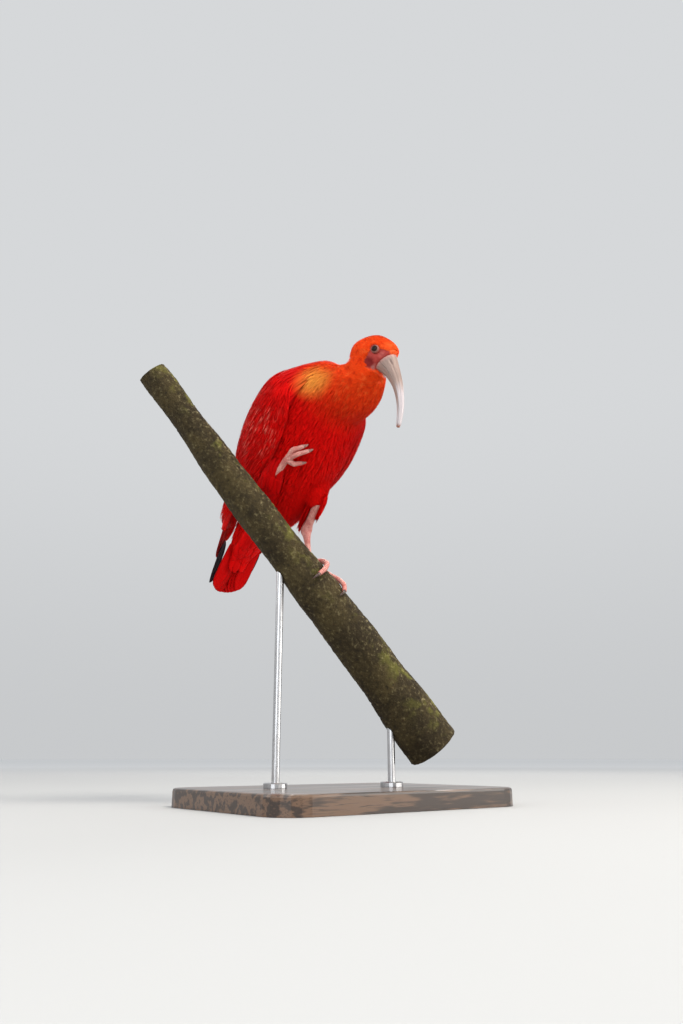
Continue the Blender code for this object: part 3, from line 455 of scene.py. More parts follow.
class Recipe:
    """A material under construction, with short ways to add and join its nodes."""

    def __init__(self, name: str) -> None:
        """Start a material with a Principled shader."""
        self.material = bpy.data.materials.new(name)
        self.material.use_nodes = True
        self.tree = self.material.node_tree
        self.shader = self.tree.nodes["Principled BSDF"]

    def put(self, kind: str, inputs: dict | None = None, **settings: object) -> bpy.types.Node:
        """Add a node.

        Args:
            kind: Its type, without the words ShaderNode.
            inputs: Values or sockets for its inputs.
            settings: Properties of the node.

        Returns:
            The node.
        """
        made = self.tree.nodes.new("ShaderNode" + kind)
        for key, value in settings.items():
            setattr(made, key, value)
        for key, value in (inputs or {}).items():
            if isinstance(value, Socket):
                self.tree.links.new(value, made.inputs[key])
            else:
                made.inputs[key].default_value = value
        return made

    def sums(self, operation: str, *values: object) -> Socket:
        """A Math node's result."""
        return self.put("Math", dict(enumerate(values)), operation=operation).outputs[0]

    def times(self, first: object, second: object) -> Socket:
        """Two values multiplied."""
        return self.sums("MULTIPLY", first, second)

    def part(self, vector: Socket, axis: int) -> Socket:
        """One part of a vector."""
        return self.put("SeparateXYZ", {0: vector}).outputs[axis]

    def stretched(self, vector: Socket, scale: tuple) -> Socket:
        """A vector scaled along its axes."""
        return self.put("Mapping", {"Vector": vector, "Scale": scale}).outputs[0]

    def place(self) -> Socket:
        """The place on the piece."""
        return self.put("TexCoord").outputs["Object"]

    def chart(self, name: str) -> Socket:
        """A UV map of the piece."""
        return self.put("UVMap", uv_map=name).outputs["UV"]

    def cloud(self, vector: Socket, scale: float, detail: float = 3.0, rough: float = 0.5) -> Socket:
        """Noise from 0 to 1."""
        inputs = {"Vector": vector, "Scale": scale, "Detail": detail, "Roughness": rough}
        return self.put("TexNoise", inputs).outputs[0]

    def spanned(
        self, value: Socket, low: float, high: float, start: float = 0.0, end: float = 1.0
    ) -> Socket:
        """A value carried from one range to another, smooth and clamped."""
        inputs = {"Value": value, "From Min": low, "From Max": high, "To Min": start, "To Max": end}
        return self.put("MapRange", inputs, interpolation_type="SMOOTHSTEP").outputs[0]

    def mixed(self, share: object, first: object, second: object, way: str = "MIX") -> Socket:
        """Two colours mixed by a share."""
        made = self.put("Mix", data_type="RGBA", blend_type=way, clamp_factor=True)
        sockets = [made.inputs[0], made.inputs[6], made.inputs[7]]
        for socket, value in zip(sockets, (share, first, second)):
            if isinstance(value, Socket):
                self.tree.links.new(value, socket)
            elif isinstance(value, tuple):
                socket.default_value = (*value, 1.0)
            else:
                socket.default_value = value
        return made.outputs[2]

    def toned(self, first: object, second: object, value: Socket, *span: float) -> Socket:
        """One colour turned into another as a value runs through a range, given as for spanned."""
        return self.mixed(self.spanned(value, *span), first, second)

    def far_from(self, vector: Socket, centre: Vector) -> Socket:
        """Distance from a point of the model."""
        made = self.put("VectorMath", {0: vector, 1: tuple(centre)}, operation="DISTANCE")
        return made.outputs["Value"]

    def raised(self, height: Socket, distance: float, strength: float = 1.0) -> None:
        """Bump the surface."""
        made = self.put("Bump", {"Height": height, "Distance": distance, "Strength": strength})
        self.tree.links.new(made.outputs[0], self.shader.inputs["Normal"])

    def finish(self, colour: object, roughness: object, **plain: object) -> Material:
        """Set the shader and return the material.

        Args:
            colour: Base colour, a socket or a tuple.
            roughness: Roughness, a socket or a number.
            plain: Uniform values for other inputs, spaces written as underscores.

        Returns:
            The material.
        """
        for key, value in {"Base Color": colour, "Roughness": roughness, **plain}.items():
            socket = self.shader.inputs[key.replace("_", " ")]
            if isinstance(value, Socket):
                self.tree.links.new(value, socket)
            else:
                socket.default_value = (*value, 1.0) if isinstance(value, tuple) else value
        return self.material


@dataclass(frozen=True)
class Patch:
    """A round patch of colour: its middle, where it is full, where it ends, its share and its tone."""

    at: tuple[float, float, float]
    full: float
    gone: float
    share: float
    tone: tuple[float, float, float]

    def over(
        self, recipe: Recipe, place: Socket, colour: object, frame: Matrix, mirror: int = 1
    ) -> Socket:
        """A colour with the patch over it.

        Args:
            recipe: The material under construction.
            place: The place on the piece.
            colour: The colour below.
            frame: The frame of the patch's middle.
            mirror: -1 for the same patch on the right side.

        Returns:
            The colour.
        """
        x, y, z = self.at
        away = recipe.far_from(place, frame @ Vector((x, mirror * y, z)))
        return recipe.toned(colour, self.tone, away, self.full, self.gone, self.share, 0.0)


@dataclass(frozen=True)
class Markings:
    """The bird's colours by place, shared by the skin and every feather, with painted sunlight, highlights
    and shade among them.
    """

    scarlet: tuple = (0.78, 0.0032, 0.0022)
    deep: tuple = (0.50, 0.0008, 0.0020)
    orange: tuple = (0.96, 0.082, 0.009)
    # Bright orange of the painted highlights on the brow and in the head's mottling
    tuft: tuple = (1.0, 0.20, 0.045)
    orange_at: tuple = (0.004, 0.0, 0.0)
    orange_reach: tuple[float, float] = (0.024, 0.100)
    orange_share: float = 0.85
    back: Patch = Patch((-0.06, 0.0, 0.07), 0.04, 0.12, 0.35, deep)
    # Painted sunlight: a bright orange-yellow patch where the sun falls on the shoulder
    shoulder: Patch = Patch((0.097, -0.044, -0.031), 0.006, 0.030, 0.88, (1.0, 0.42, 0.065))
    # Painted shade: the top of the head darkened against the light that falls on it
    crown: Patch = Patch((-0.002, 0.0, 0.024), 0.008, 0.028, 0.60, (0.56, 0.048, 0.009))
    # Painted highlight on the forehead, where the light falls on it
    brow: Patch = Patch((0.027, -0.004, 0.012), 0.004, 0.015, 0.45, tuft)

    def colour(self, recipe: Recipe, place: Socket) -> Socket:
        """The plumage colour at a place, with its painted light and shade.

        Args:
            recipe: The material under construction.
            place: The place on the piece.

        Returns:
            The colour.
        """
        near = recipe.far_from(place, HEAD @ Vector(self.orange_at))
        head = recipe.spanned(near, *self.orange_reach, 1.0, 0.0)
        base = self.back.over(recipe, place, self.scarlet, BODY)
        mottled = recipe.spanned(recipe.cloud(place, 38.0, 2.0), 0.45, 0.75, 0.0, 0.18)
        base = recipe.mixed(mottled, base, self.deep)
        base = recipe.mixed(recipe.times(head, self.orange_share), base, self.orange)
        # Painted shade on the crown and painted highlight on the brow
        for patch in (self.crown, self.brow):
            base = patch.over(recipe, place, base, HEAD)
        # Painted highlights and painted shade in small patches over the feathers of the head and neck
        light_and_shade_mottle = recipe.cloud(place, 170.0, 3.0)
        for span, tone in (((0.50, 0.72), self.tuft), ((0.46, 0.30), self.deep)):
            base = recipe.mixed(recipe.times(head, recipe.spanned(light_and_shade_mottle, *span, 0.0, 0.45)), base, tone)
        # The painted sunlit patch on the shoulder goes over everything
        return self.shoulder.over(recipe, place, base, BODY)


@dataclass(frozen=True)
class PlumeFinish:
    """Feathers: the markings with a toned vane, painted shade at the root, a quill line, pale painted
    highlights on the edges and in streaks, and fine barbs.
    """

    name: str
    markings: Markings = field(default_factory=Markings)
    # Pale pink of the painted highlights on the feathers' edges, tips and streaks
    pale: tuple = (0.92, 0.20, 0.15)
    pale_share: float = 0.0
    dark: tuple | None = None
    dark_from: float = 2.0
    deep_share: float = 0.0
    barbs: float = 46.0
    silky: float = 0.60
    tones: tuple[float, float] = (0.90, 1.08)
    # Share, middle and reach of the pale painted highlight streaks on the wings
    strands: float = 0.0
    strands_at: tuple = (0.016, 0.064, -0.004)
    strands_reach: tuple[float, float] = (0.020, 0.052)
    # Share of painted shade at each feather's root, where the feather above covers it
    rooty: float = 0.16

    def make(self) -> Material:
        """The feather material."""
        recipe = Recipe(self.name)
        place = recipe.place()
        chart = recipe.put("SeparateXYZ", {0: recipe.chart("vane")})
        across = recipe.sums("ABSOLUTE", recipe.sums("MULTIPLY_ADD", chart.outputs[0], 2.0, -1.0))
        along = chart.outputs[1]
        tone = recipe.put("Attribute", attribute_name="tone").outputs["Fac"]
        colour = self.markings.colour(recipe, place)
        if self.deep_share:
            colour = recipe.mixed(self.deep_share, colour, self.markings.deep)
        # Painted shade: each feather darkened towards its root
        root = recipe.spanned(along, 0.0, 0.75, self.rooty, 0.0)
        colour = recipe.mixed(root, colour, self.markings.deep)
        shade = recipe.spanned(tone, 0.0, 1.0, *self.tones)
        grey = recipe.put("CombineColor", {0: shade, 1: shade, 2: shade}).outputs[0]
        colour = recipe.mixed(1.0, colour, grey, "MULTIPLY")
        # Painted highlight: pale rims along each feather's edges and tip
        if self.pale_share:
            frayed = recipe.cloud(recipe.chart("vane"), 9.0, 2.0)
            rim = recipe.spanned(recipe.sums("ADD", across, recipe.times(frayed, 0.5)), 0.92, 1.30)
            tip = recipe.spanned(recipe.sums("ADD", along, recipe.times(frayed, 0.18)), 1.00, 1.10)
            rim = recipe.sums("MAXIMUM", rim, tip)
            colour = recipe.mixed(recipe.times(rim, self.pale_share), colour, self.pale)
        # Painted highlight: pale streaks on some feathers of the wing's middle
        if self.strands:
            strands = recipe.times(self.stranded(recipe, place, tone), self.strands)
            colour = recipe.mixed(strands, colour, self.pale)
        if self.dark:
            inked = recipe.spanned(along, self.dark_from - 0.05, self.dark_from + 0.05)
            colour = recipe.mixed(inked, colour, self.dark)
        quill = recipe.spanned(across, 0.02, 0.07, 0.22, 0.0)
        colour = recipe.mixed(quill, colour, self.markings.deep)
        slant = recipe.sums("SUBTRACT", along, recipe.times(across, 0.16))
        recipe.raised(recipe.sums("SINE", recipe.times(slant, self.barbs * math.tau)), 0.00006, 0.7)
        return recipe.finish(
            colour,
            self.silky,
            Specular_IOR_Level=0.035,
            Sheen_Weight=0.05,
            Sheen_Roughness=0.4,
            Sheen_Tint=(1.0, 0.10, 0.04),
        )

    def stranded(self, recipe: Recipe, place: Socket, tone: Socket) -> Socket:
        """Which feathers of the wing's middle get the pale painted highlight streaks, as a share.

        Args:
            recipe: The material under construction.
            place: The place on the piece.
            tone: Each feather's own tone.

        Returns:
            The share.
        """
        x, y, z = self.strands_at
        away = [recipe.far_from(place, BODY @ Vector((x, side.value * y, z))) for side in Side]
        patch = recipe.spanned(recipe.sums("MINIMUM", *away), *self.strands_reach, 1.0, 0.0)
        patch = recipe.times(patch, recipe.spanned(recipe.cloud(place, 70.0, 2.0), 0.42, 0.60))
        return recipe.times(patch, recipe.spanned(tone, 0.50, 0.95))


@dataclass(frozen=True)
class SkinFinish:
    """Skin: the plumage's markings, with the bare pink face and painted shade in the crease behind the
    gape.
    """

    markings: Markings = field(default_factory=Markings)
    # Dark red of the painted shade in the crease behind the gape, and of a fine speckle over the skin
    dark: tuple = (0.16, 0.007, 0.008)
    face: Patch = Patch((0.0225, 0.0125, 0.001), 0.0125, 0.0165, 1.0, (0.38, 0.045, 0.036))
    # Painted shade in the crease behind the gape, where the face is pressed in
    fold: Patch = Patch((0.0175, 0.0125, -0.0095), 0.0035, 0.0085, 0.90, dark)
    corner: Patch = Patch((0.0262, 0.0100, -0.0095), 0.0026, 0.0050, 0.85, (0.36, 0.22, 0.19))
    lore: Patch = Patch((0.0262, 0.0110, 0.0050), 0.001, 0.0055, 0.55, (0.50, 0.12, 0.10))

    def make(self) -> Material:
        """The skin's material."""
        recipe = Recipe("bare_face_and_skin")
        place = recipe.place()
        colour = self.markings.colour(recipe, place)
        for side in Side:
            for patch in (self.face, self.fold, self.corner, self.lore):
                colour = patch.over(recipe, place, colour, HEAD, side.value)
        colour = recipe.toned(colour, self.dark, recipe.cloud(place, 420.0), 0.4, 0.7, 0.0, 0.35)
        creases = recipe.put("TexVoronoi", {"Vector": place, "Scale": 900.0}, feature="DISTANCE_TO_EDGE")
        recipe.raised(recipe.spanned(creases.outputs[0], 0.0, 0.12), 0.00012, 0.8)
        return recipe.finish(colour, 0.6, Specular_IOR_Level=0.15)


@dataclass(frozen=True)
class HornFinish:
    """Bill: mauve grey and streaked at the base, ivory on the outer half, brown at the tip."""

    # Where the ivory starts and where it is full along the bill; the lower half's later span is painted
    # shade
    whitens: tuple[float, float] = (0.36, 0.56)
    name: str = "bill_horn_upper"
    base: tuple = (0.25, 0.168, 0.138)
    base_dark: tuple = (0.13, 0.082, 0.072)
    ivory: tuple = (0.43, 0.38, 0.39)
    tip: tuple = (0.26, 0.09, 0.05)
    rose: tuple = (0.55, 0.20, 0.17)

    def make(self) -> Material:
        """The bill's material."""
        recipe = Recipe(self.name)
        chart = recipe.chart("form")
        along = recipe.part(chart, 1)
        streak = recipe.cloud(recipe.stretched(chart, (34.0, 5.0, 1.0)), 1.0, 5.0, 0.65)
        fine = recipe.cloud(recipe.place(), 900.0, 3.0)
        drift = recipe.sums("MULTIPLY_ADD", recipe.sums("SUBTRACT", streak, 0.5), 0.30, along)
        colour = recipe.toned(self.base, self.base_dark, streak, 0.46, 0.70, 0.0, 0.65)
        colour = recipe.toned(colour, self.rose, along, 0.0, 0.07, 0.45, 0.0)
        colour = recipe.toned(colour, self.ivory, drift, *self.whitens)
        colour = recipe.toned(colour, self.tip, drift, 0.945, 0.975)
        recipe.raised(recipe.sums("ADD", streak, recipe.times(fine, 0.35)), 0.00022, 0.6)
        return recipe.finish(colour, recipe.spanned(along, 0.2, 0.7, 0.55, 0.33), Specular_IOR_Level=0.5)


@dataclass(frozen=True)
class EyeFinish:
    """Eye: black pupil in a dark brown iris, under a clear wet front."""

    pupil: tuple = (0.002, 0.0015, 0.0015)
    iris: tuple = (0.012, 0.005, 0.003)
    bright: tuple = (0.034, 0.013, 0.006)
    inner: tuple[float, float] = (0.105, 0.120)
    outer: tuple[float, float] = (0.245, 0.27)

    def make(self) -> Material:
        """The eye's material."""
        recipe = Recipe("eye_brown_wet")
        chart = recipe.chart("form")
        out = recipe.part(chart, 1)
        rays = recipe.cloud(recipe.stretched(chart, (60.0, 6.0, 1.0)), 1.0, 3.0)
        iris = recipe.toned(self.iris, self.bright, rays, 0.35, 0.7)
        colour = recipe.toned(self.pupil, iris, out, *self.inner)
        colour = recipe.toned(colour, self.pupil, out, *self.outer)
        return recipe.finish(colour, 0.08, Coat_Weight=0.04, Coat_Roughness=0.03, Specular_IOR_Level=0.12)


@dataclass(frozen=True)
class LidFinish:
    """Lids: thin wrinkled skin, pale round the opening and pink outside."""

    pale: tuple = (0.20, 0.085, 0.070)
    pink: tuple = (0.36, 0.050, 0.030)

    def make(self) -> Material:
        """The lids' material."""
        recipe = Recipe("lid_skin")
        chart = recipe.chart("form")
        colour = recipe.toned(self.pale, self.pink, recipe.part(chart, 1), 0.45, 0.80)
        folds = recipe.cloud(recipe.stretched(chart, (5.0, 22.0, 1.0)), 1.5, 3.0)
        colour = recipe.toned(colour, self.pink, folds, 0.45, 0.7, 0.0, 0.4)
        recipe.raised(folds, 0.0002, 0.7)
        return recipe.finish(colour, 0.6, Specular_IOR_Level=0.2)


@dataclass(frozen=True)
class ScaleFinish:
    """Legs: pink skin under small scutes, dustier in the seams."""

    pink: tuple = (0.50, 0.170, 0.142)
    pale: tuple = (0.68, 0.37, 0.31)
    seam: tuple = (0.34, 0.060, 0.050)

    def make(self) -> Material:
        """The legs' material."""
        recipe = Recipe("leg_scales")
        place = recipe.place()
        cells = recipe.put("TexVoronoi", {"Vector": place, "Scale": 620.0}, feature="DISTANCE_TO_EDGE")
        seam = recipe.spanned(cells.outputs[0], 0.0, 0.14)
        colour = recipe.toned(self.pink, self.pale, recipe.cloud(place, 150.0), 0.35, 0.7)
        colour = recipe.mixed(recipe.sums("SUBTRACT", 1.0, seam), colour, self.seam)
        recipe.raised(seam, 0.00016, 0.8)
        return recipe.finish(colour, 0.46, Specular_IOR_Level=0.45)


@dataclass(frozen=True)
class ClawFinish:
    """Claws: dark brown horn with fine streaks."""

    dark: tuple = (0.030, 0.016, 0.013)
    worn: tuple = (0.15, 0.075, 0.055)
    name: str = "claw_horn"

    def make(self) -> Material:
        """The claws' material."""
        recipe = Recipe(self.name)
        streak = recipe.cloud(recipe.stretched(recipe.chart("form"), (16.0, 3.0, 1.0)), 1.0, 3.0)
        recipe.raised(streak, 0.0001, 0.5)
        return recipe.finish(recipe.toned(self.dark, self.worn, streak, 0.4, 0.75), 0.3)


@dataclass(frozen=True)
class BarkFinish:
    """Bark: grey brown with fine cracks, dark pits and mossy, lit patches on its top."""

    brown: tuple = (0.021, 0.014, 0.005)
    grey: tuple = (0.048, 0.034, 0.012)
    pit: tuple = (0.008, 0.006, 0.003)
    speck: tuple = (0.27, 0.225, 0.115)
    moss: tuple = (0.170, 0.170, 0.026)
    moss_share: float = 0.55

    def make(self) -> Material:
        """The bark's material."""
        recipe = Recipe("bark_mossy")
        place = recipe.place()
        broad = recipe.cloud(place, 26.0, 4.0, 0.6)
        fine = recipe.cloud(place, 240.0, 6.0, 0.7)
        grit = recipe.put("TexVoronoi", {"Vector": place, "Scale": 420.0}).outputs[0]
        colour = recipe.toned(self.brown, self.grey, broad, 0.35, 0.66)
        colour = recipe.toned(colour, self.pit, fine, 0.48, 0.32, 0.0, 0.70)
        upward = recipe.part(recipe.put("NewGeometry").outputs["Normal"], 2)
        specks = recipe.spanned(fine, 0.52, 0.70, 0.0, 0.85)
        lit = recipe.spanned(upward, -0.2, 0.8, 0.35, 1.0)
        colour = recipe.mixed(recipe.times(specks, lit), colour, self.speck)
        patch = recipe.spanned(recipe.cloud(place, 48.0, 4.0, 0.6), 0.50, 0.66)
        mossy = recipe.times(patch, recipe.spanned(upward, -0.35, 0.75))
        colour = recipe.mixed(recipe.times(mossy, self.moss_share), colour, self.moss)
        recipe.raised(recipe.sums("ADD", fine, recipe.times(grit, 0.5)), 0.0009, 0.9)
        return recipe.finish(colour, 0.92, Specular_IOR_Level=0.25)


@dataclass(frozen=True)
class CutWoodFinish:
    """Sawn ends of the branch: pale heart, year rings round the pith and saw marks."""

    pale: tuple = (0.46, 0.33, 0.19)
    ring: tuple = (0.25, 0.15, 0.075)
    rim: tuple = (0.10, 0.06, 0.035)
    rings_to_metre: float = 560.0

    def make(self, centre: Vector, name: str) -> Material:
        """The sawn wood, its rings round the pith of one end.

        Args:
            centre: The pith at that end.
            name: Name of the material.

        Returns:
            The material.
        """
        recipe = Recipe(name)
        place = recipe.place()
        uneven = recipe.times(recipe.cloud(place, 60.0), 0.003)
        reach = recipe.sums("ADD", recipe.far_from(place, centre), uneven)
        rings = recipe.sums("SINE", recipe.times(reach, math.tau * self.rings_to_metre))
        grain = recipe.cloud(place, 700.0, 4.0)
        colour = recipe.toned(self.pale, self.ring, rings, -0.2, 1.0, 0.0, 0.75)
        colour = recipe.toned(colour, self.ring, grain, 0.5, 0.7, 0.0, 0.4)
        colour = recipe.toned(colour, self.rim, reach, 0.0175, 0.0215, 0.0, 0.7)
        recipe.raised(grain, 0.0003, 0.6)
        return recipe.finish(colour, 0.75)


@dataclass(frozen=True)
class BaseWoodFinish:
    """Display base: dark oiled walnut with long grain."""

    light: tuple = (0.115, 0.062, 0.034)
    dark: tuple = (0.028, 0.015, 0.009)
    pore: tuple = (0.012, 0.007, 0.004)

    def make(self) -> Material:
        """The base's material."""
        recipe = Recipe("walnut_oiled")
        place = recipe.place()
        figure = recipe.cloud(recipe.stretched(place, (26.0, 2.2, 26.0)), 1.6, 5.0, 0.6)
        pores = recipe.cloud(recipe.stretched(place, (900, 40, 900)), 1.0)
        band = recipe.sums("SINE", recipe.times(figure, 36.0))
        colour = recipe.toned(self.dark, self.light, band, -0.8, 0.9)
        colour = recipe.toned(colour, self.pore, pores, 0.58, 0.66, 0.0, 0.7)
        recipe.raised(pores, 0.0001, 0.4)
        return recipe.finish(colour, recipe.spanned(figure, 0.3, 0.7, 0.30, 0.42), Coat_Weight=0.35)


@dataclass(frozen=True)
class SteelFinish:
    """Rods: turned steel with fine rings and a few soft smears."""

    colour: tuple = (0.50, 0.50, 0.51)
    smeared: tuple = (0.34, 0.33, 0.33)

    def make(self) -> Material:
        """The rods' material."""
        recipe = Recipe("steel_turned")
        place = recipe.place()
        rings = recipe.cloud(recipe.stretched(place, (1, 1, 2600)), 1.0, 2.0)
        smear = recipe.cloud(place, 60.0, 3.0)
        colour = recipe.toned(self.colour, self.smeared, smear, 0.35, 0.7, 0.0, 0.4)
        recipe.raised(rings, 0.00004, 0.4)
        return recipe.finish(colour, recipe.sums("MULTIPLY_ADD", smear, 0.18, 0.20), Metallic=1.0)


@dataclass(frozen=True)
class VaneShape:
    """The outline and section of one feather, the same for a whole batch.

    Upper points run across from edge to edge, lower points come back under them. All are shares
    of the half width and of the length.
    """

    along: tuple[float, ...]
    breadth: tuple[float, ...]
    across: tuple[float, ...] = (-1.0, 0.0, 1.0)
    under: tuple[float, ...] = (0.0,)
    camber: float = 0.16
    thickness: float = 0.00014
    fray: float = 0.0

    @property
    def sides(self) -> int:
        """Points round one section."""
        return len(self.across) + len(self.under)

    def quads(self) -> Array:
        """Faces of one feather, its ends closed, as rows of four points."""
        count = self.sides
        faces = []
        for k in range(len(self.along) - 1):
            for j in range(count):
                i = (j + 1) % count
                faces.append((k * count + j, k * count + i, (k + 1) * count + i, (k + 1) * count + j))
        last = (len(self.along) - 1) * count
        for j in range(count // 2 - 1):
            faces.append((j, count - 1 - j, count - 2 - j, j + 1))
            faces.append((last + j, last + j + 1, last + count - 2 - j, last + count - 1 - j))
        return np.array(faces)


@dataclass
class Plumes:
    """Feathers of one shape, gathered into one joined mesh."""

    name: str
    shape: VaneShape
    seed: int = 7
    points: list[Array] = field(default_factory=list)
    spots: list[Array] = field(default_factory=list)
    tones: list[Array] = field(default_factory=list)
    charts: list[Array] = field(default_factory=list)

    def lay(
        self,
        place: Callable[[Array, Array, Array], Array],
        width: Array,
        heights: tuple[Array, Array, Array],
        spots: Array,
        tones: Array,
        tilt: float = 0.0,
    ) -> None:
        """Add a batch of feathers.

        Args:
            place: Points for the shares along, offsets across and heights, each n by stations by sides.
            width: Each feather's width.
            heights: Height of root, middle and tip over the surface.
            spots: Each root's place on the unwrap.
            tones: Each feather's tone, 0 to 1.
            tilt: Rise across the feather, per offset.
        """
        shape = self.shape
        count, stations = len(width), len(shape.along)
        rng = np.random.default_rng(self.seed + len(self.points))
        along = np.array(shape.along)[None, :, None] * np.ones((count, 1, shape.sides))
        half = each(np.asarray(width) / 2)
        edges = np.array(shape.across + shape.under)[None, None, :]
        breadth = np.array(shape.breadth)[None, :, None]
        ragged = 1.0 - shape.fray * rng.random((count, stations, shape.sides)) * (np.abs(edges) > 0.9)
        offset = edges * breadth * ragged * half
        root, middle, tip = (np.asarray(h, float).reshape(-1, 1, 1) for h in heights)
        rise, rest = (middle - root) * along / BEND_AT, (tip - middle) * (along - BEND_AT) / (1 - BEND_AT)
        height = np.where(along < BEND_AT, root + rise, middle + rest)
        height = height - shape.camber * breadth * edges**2 * half + tilt * offset
        lower = np.arange(shape.sides)[None, None, :] >= len(shape.across)
        height = height - lower * shape.thickness * (0.45 + 0.55 * breadth)
        self.points.append(place(along, offset, height))
        self.spots.append(spots)
        self.tones.append(tones)
        self.charts.append(np.stack(np.broadcast_arrays(edges * 0.5 + 0.5, along), -1))

    def gather(self, material: Material, slot: str) -> Piece:
        """Make the joined mesh and hand it over.

        Args:
            material: The feathers' material.
            slot: The record's slot, handed on but not used.

        Returns:
            The finished piece.
        """
        points = np.concatenate(self.points)
        count, stations, sides, _ = points.shape
        flat = points.reshape(count, stations * sides, 3)
        quads = self.shape.quads()
        first, *others = np.moveaxis(flat[:, quads], 2, 0)
        volume = sum(
            np.einsum("nfi,nfi->n", first, np.cross(one - first, other - first))
            for one, other in zip(others, others[1:])
        )
        faces = np.broadcast_to(quads, (count, *quads.shape)).copy()
        faces[volume < 0] = faces[volume < 0][..., ::-1]
        faces += each(np.arange(count) * stations * sides)
        return hand_over(dress(self.solid(flat, faces, stations * sides), material), slot)

    def solid(self, points: Array, faces: Array, each_has: int) -> Piece:
        """The feathers' mesh with its charts and tones.

        Args:
            points: Points of every feather.
            faces: Faces of every feather.
            each_has: Points of one feather.

        Returns:
            The piece.
        """
        mesh = bpy.data.meshes.new(self.name)
        mesh.vertices.add(points.size // 3)
        mesh.vertices.foreach_set("co", points.astype(np.float32).ravel())
        mesh.loops.add(faces.size)
        mesh.loops.foreach_set("vertex_index", faces.astype(np.int32).ravel())
        mesh.polygons.add(faces.size // 4)
        mesh.polygons.foreach_set("loop_start", np.arange(0, faces.size, 4, dtype=np.int32))
        mesh.update(calc_edges=True)
        chart = np.concatenate(self.charts).reshape(-1, 2)
        spot = np.repeat(np.concatenate(self.spots), each_has, axis=0)
        for name, values in (("OFBake", spot + (chart - 0.5) * BAKE_PATCH), ("vane", chart)):
            layer = mesh.uv_layers.new(name=name)
            layer.data.foreach_set("uv", values[faces.ravel()].astype(np.float32).ravel())
        tones = np.repeat(np.concatenate(self.tones), each_has).astype(np.float32)
        mesh.attributes.new("tone", "FLOAT", "POINT").data.foreach_set("value", tones)
        mesh.validate()
        piece = bpy.data.objects.new(self.name, mesh)
        bpy.context.scene.collection.objects.link(piece)
        return piece


FINE_VANE = VaneShape((0.0, 0.22, 0.52, 0.80, 1.0), (0.30, 0.85, 1.0, 0.72, 0.16), fray=0.30)
SOFT_VANE = VaneShape(
    (0.0, 0.15, 0.36, 0.58, 0.78, 0.91, 1.0), (0.26, 0.72, 0.98, 1.0, 0.80, 0.52, 0.14), fray=0.34
)
WISP = VaneShape((0.0, 0.30, 0.68, 1.0), (0.5, 1.0, 0.8, 0.12), camber=0.1, thickness=0.00012)
COVERT_VANE = VaneShape(
    (0.0, 0.10, 0.24, 0.42, 0.60, 0.76, 0.88, 0.95, 1.0),
    (0.22, 0.60, 0.90, 1.0, 1.0, 0.93, 0.74, 0.48, 0.14),
    (-1.0, -0.5, 0.0, 0.5, 1.0),
    (0.5, 0.0, -0.5),
    camber=0.10,
    thickness=0.00022,
    fray=0.10,
)
FLIGHT_VANE = VaneShape(
    (0.0, 0.05, 0.12, 0.21, 0.30, 0.39, 0.48, 0.57, 0.66, 0.74, 0.81, 0.87, 0.92, 0.96, 0.985, 1.0),
    (0.20, 0.55, 0.82, 0.94, 1.0, 1.0, 1.0, 1.0, 0.98, 0.95, 0.90, 0.82, 0.70, 0.52, 0.34, 0.12),
    (-1.0, -0.66, -0.33, -0.04, 0.04, 0.33, 0.66, 1.0),
    (0.66, 0.33, 0.04, -0.04, -0.33, -0.66),
    camber=0.07,
    thickness=0.00030,
    fray=0.05,
)


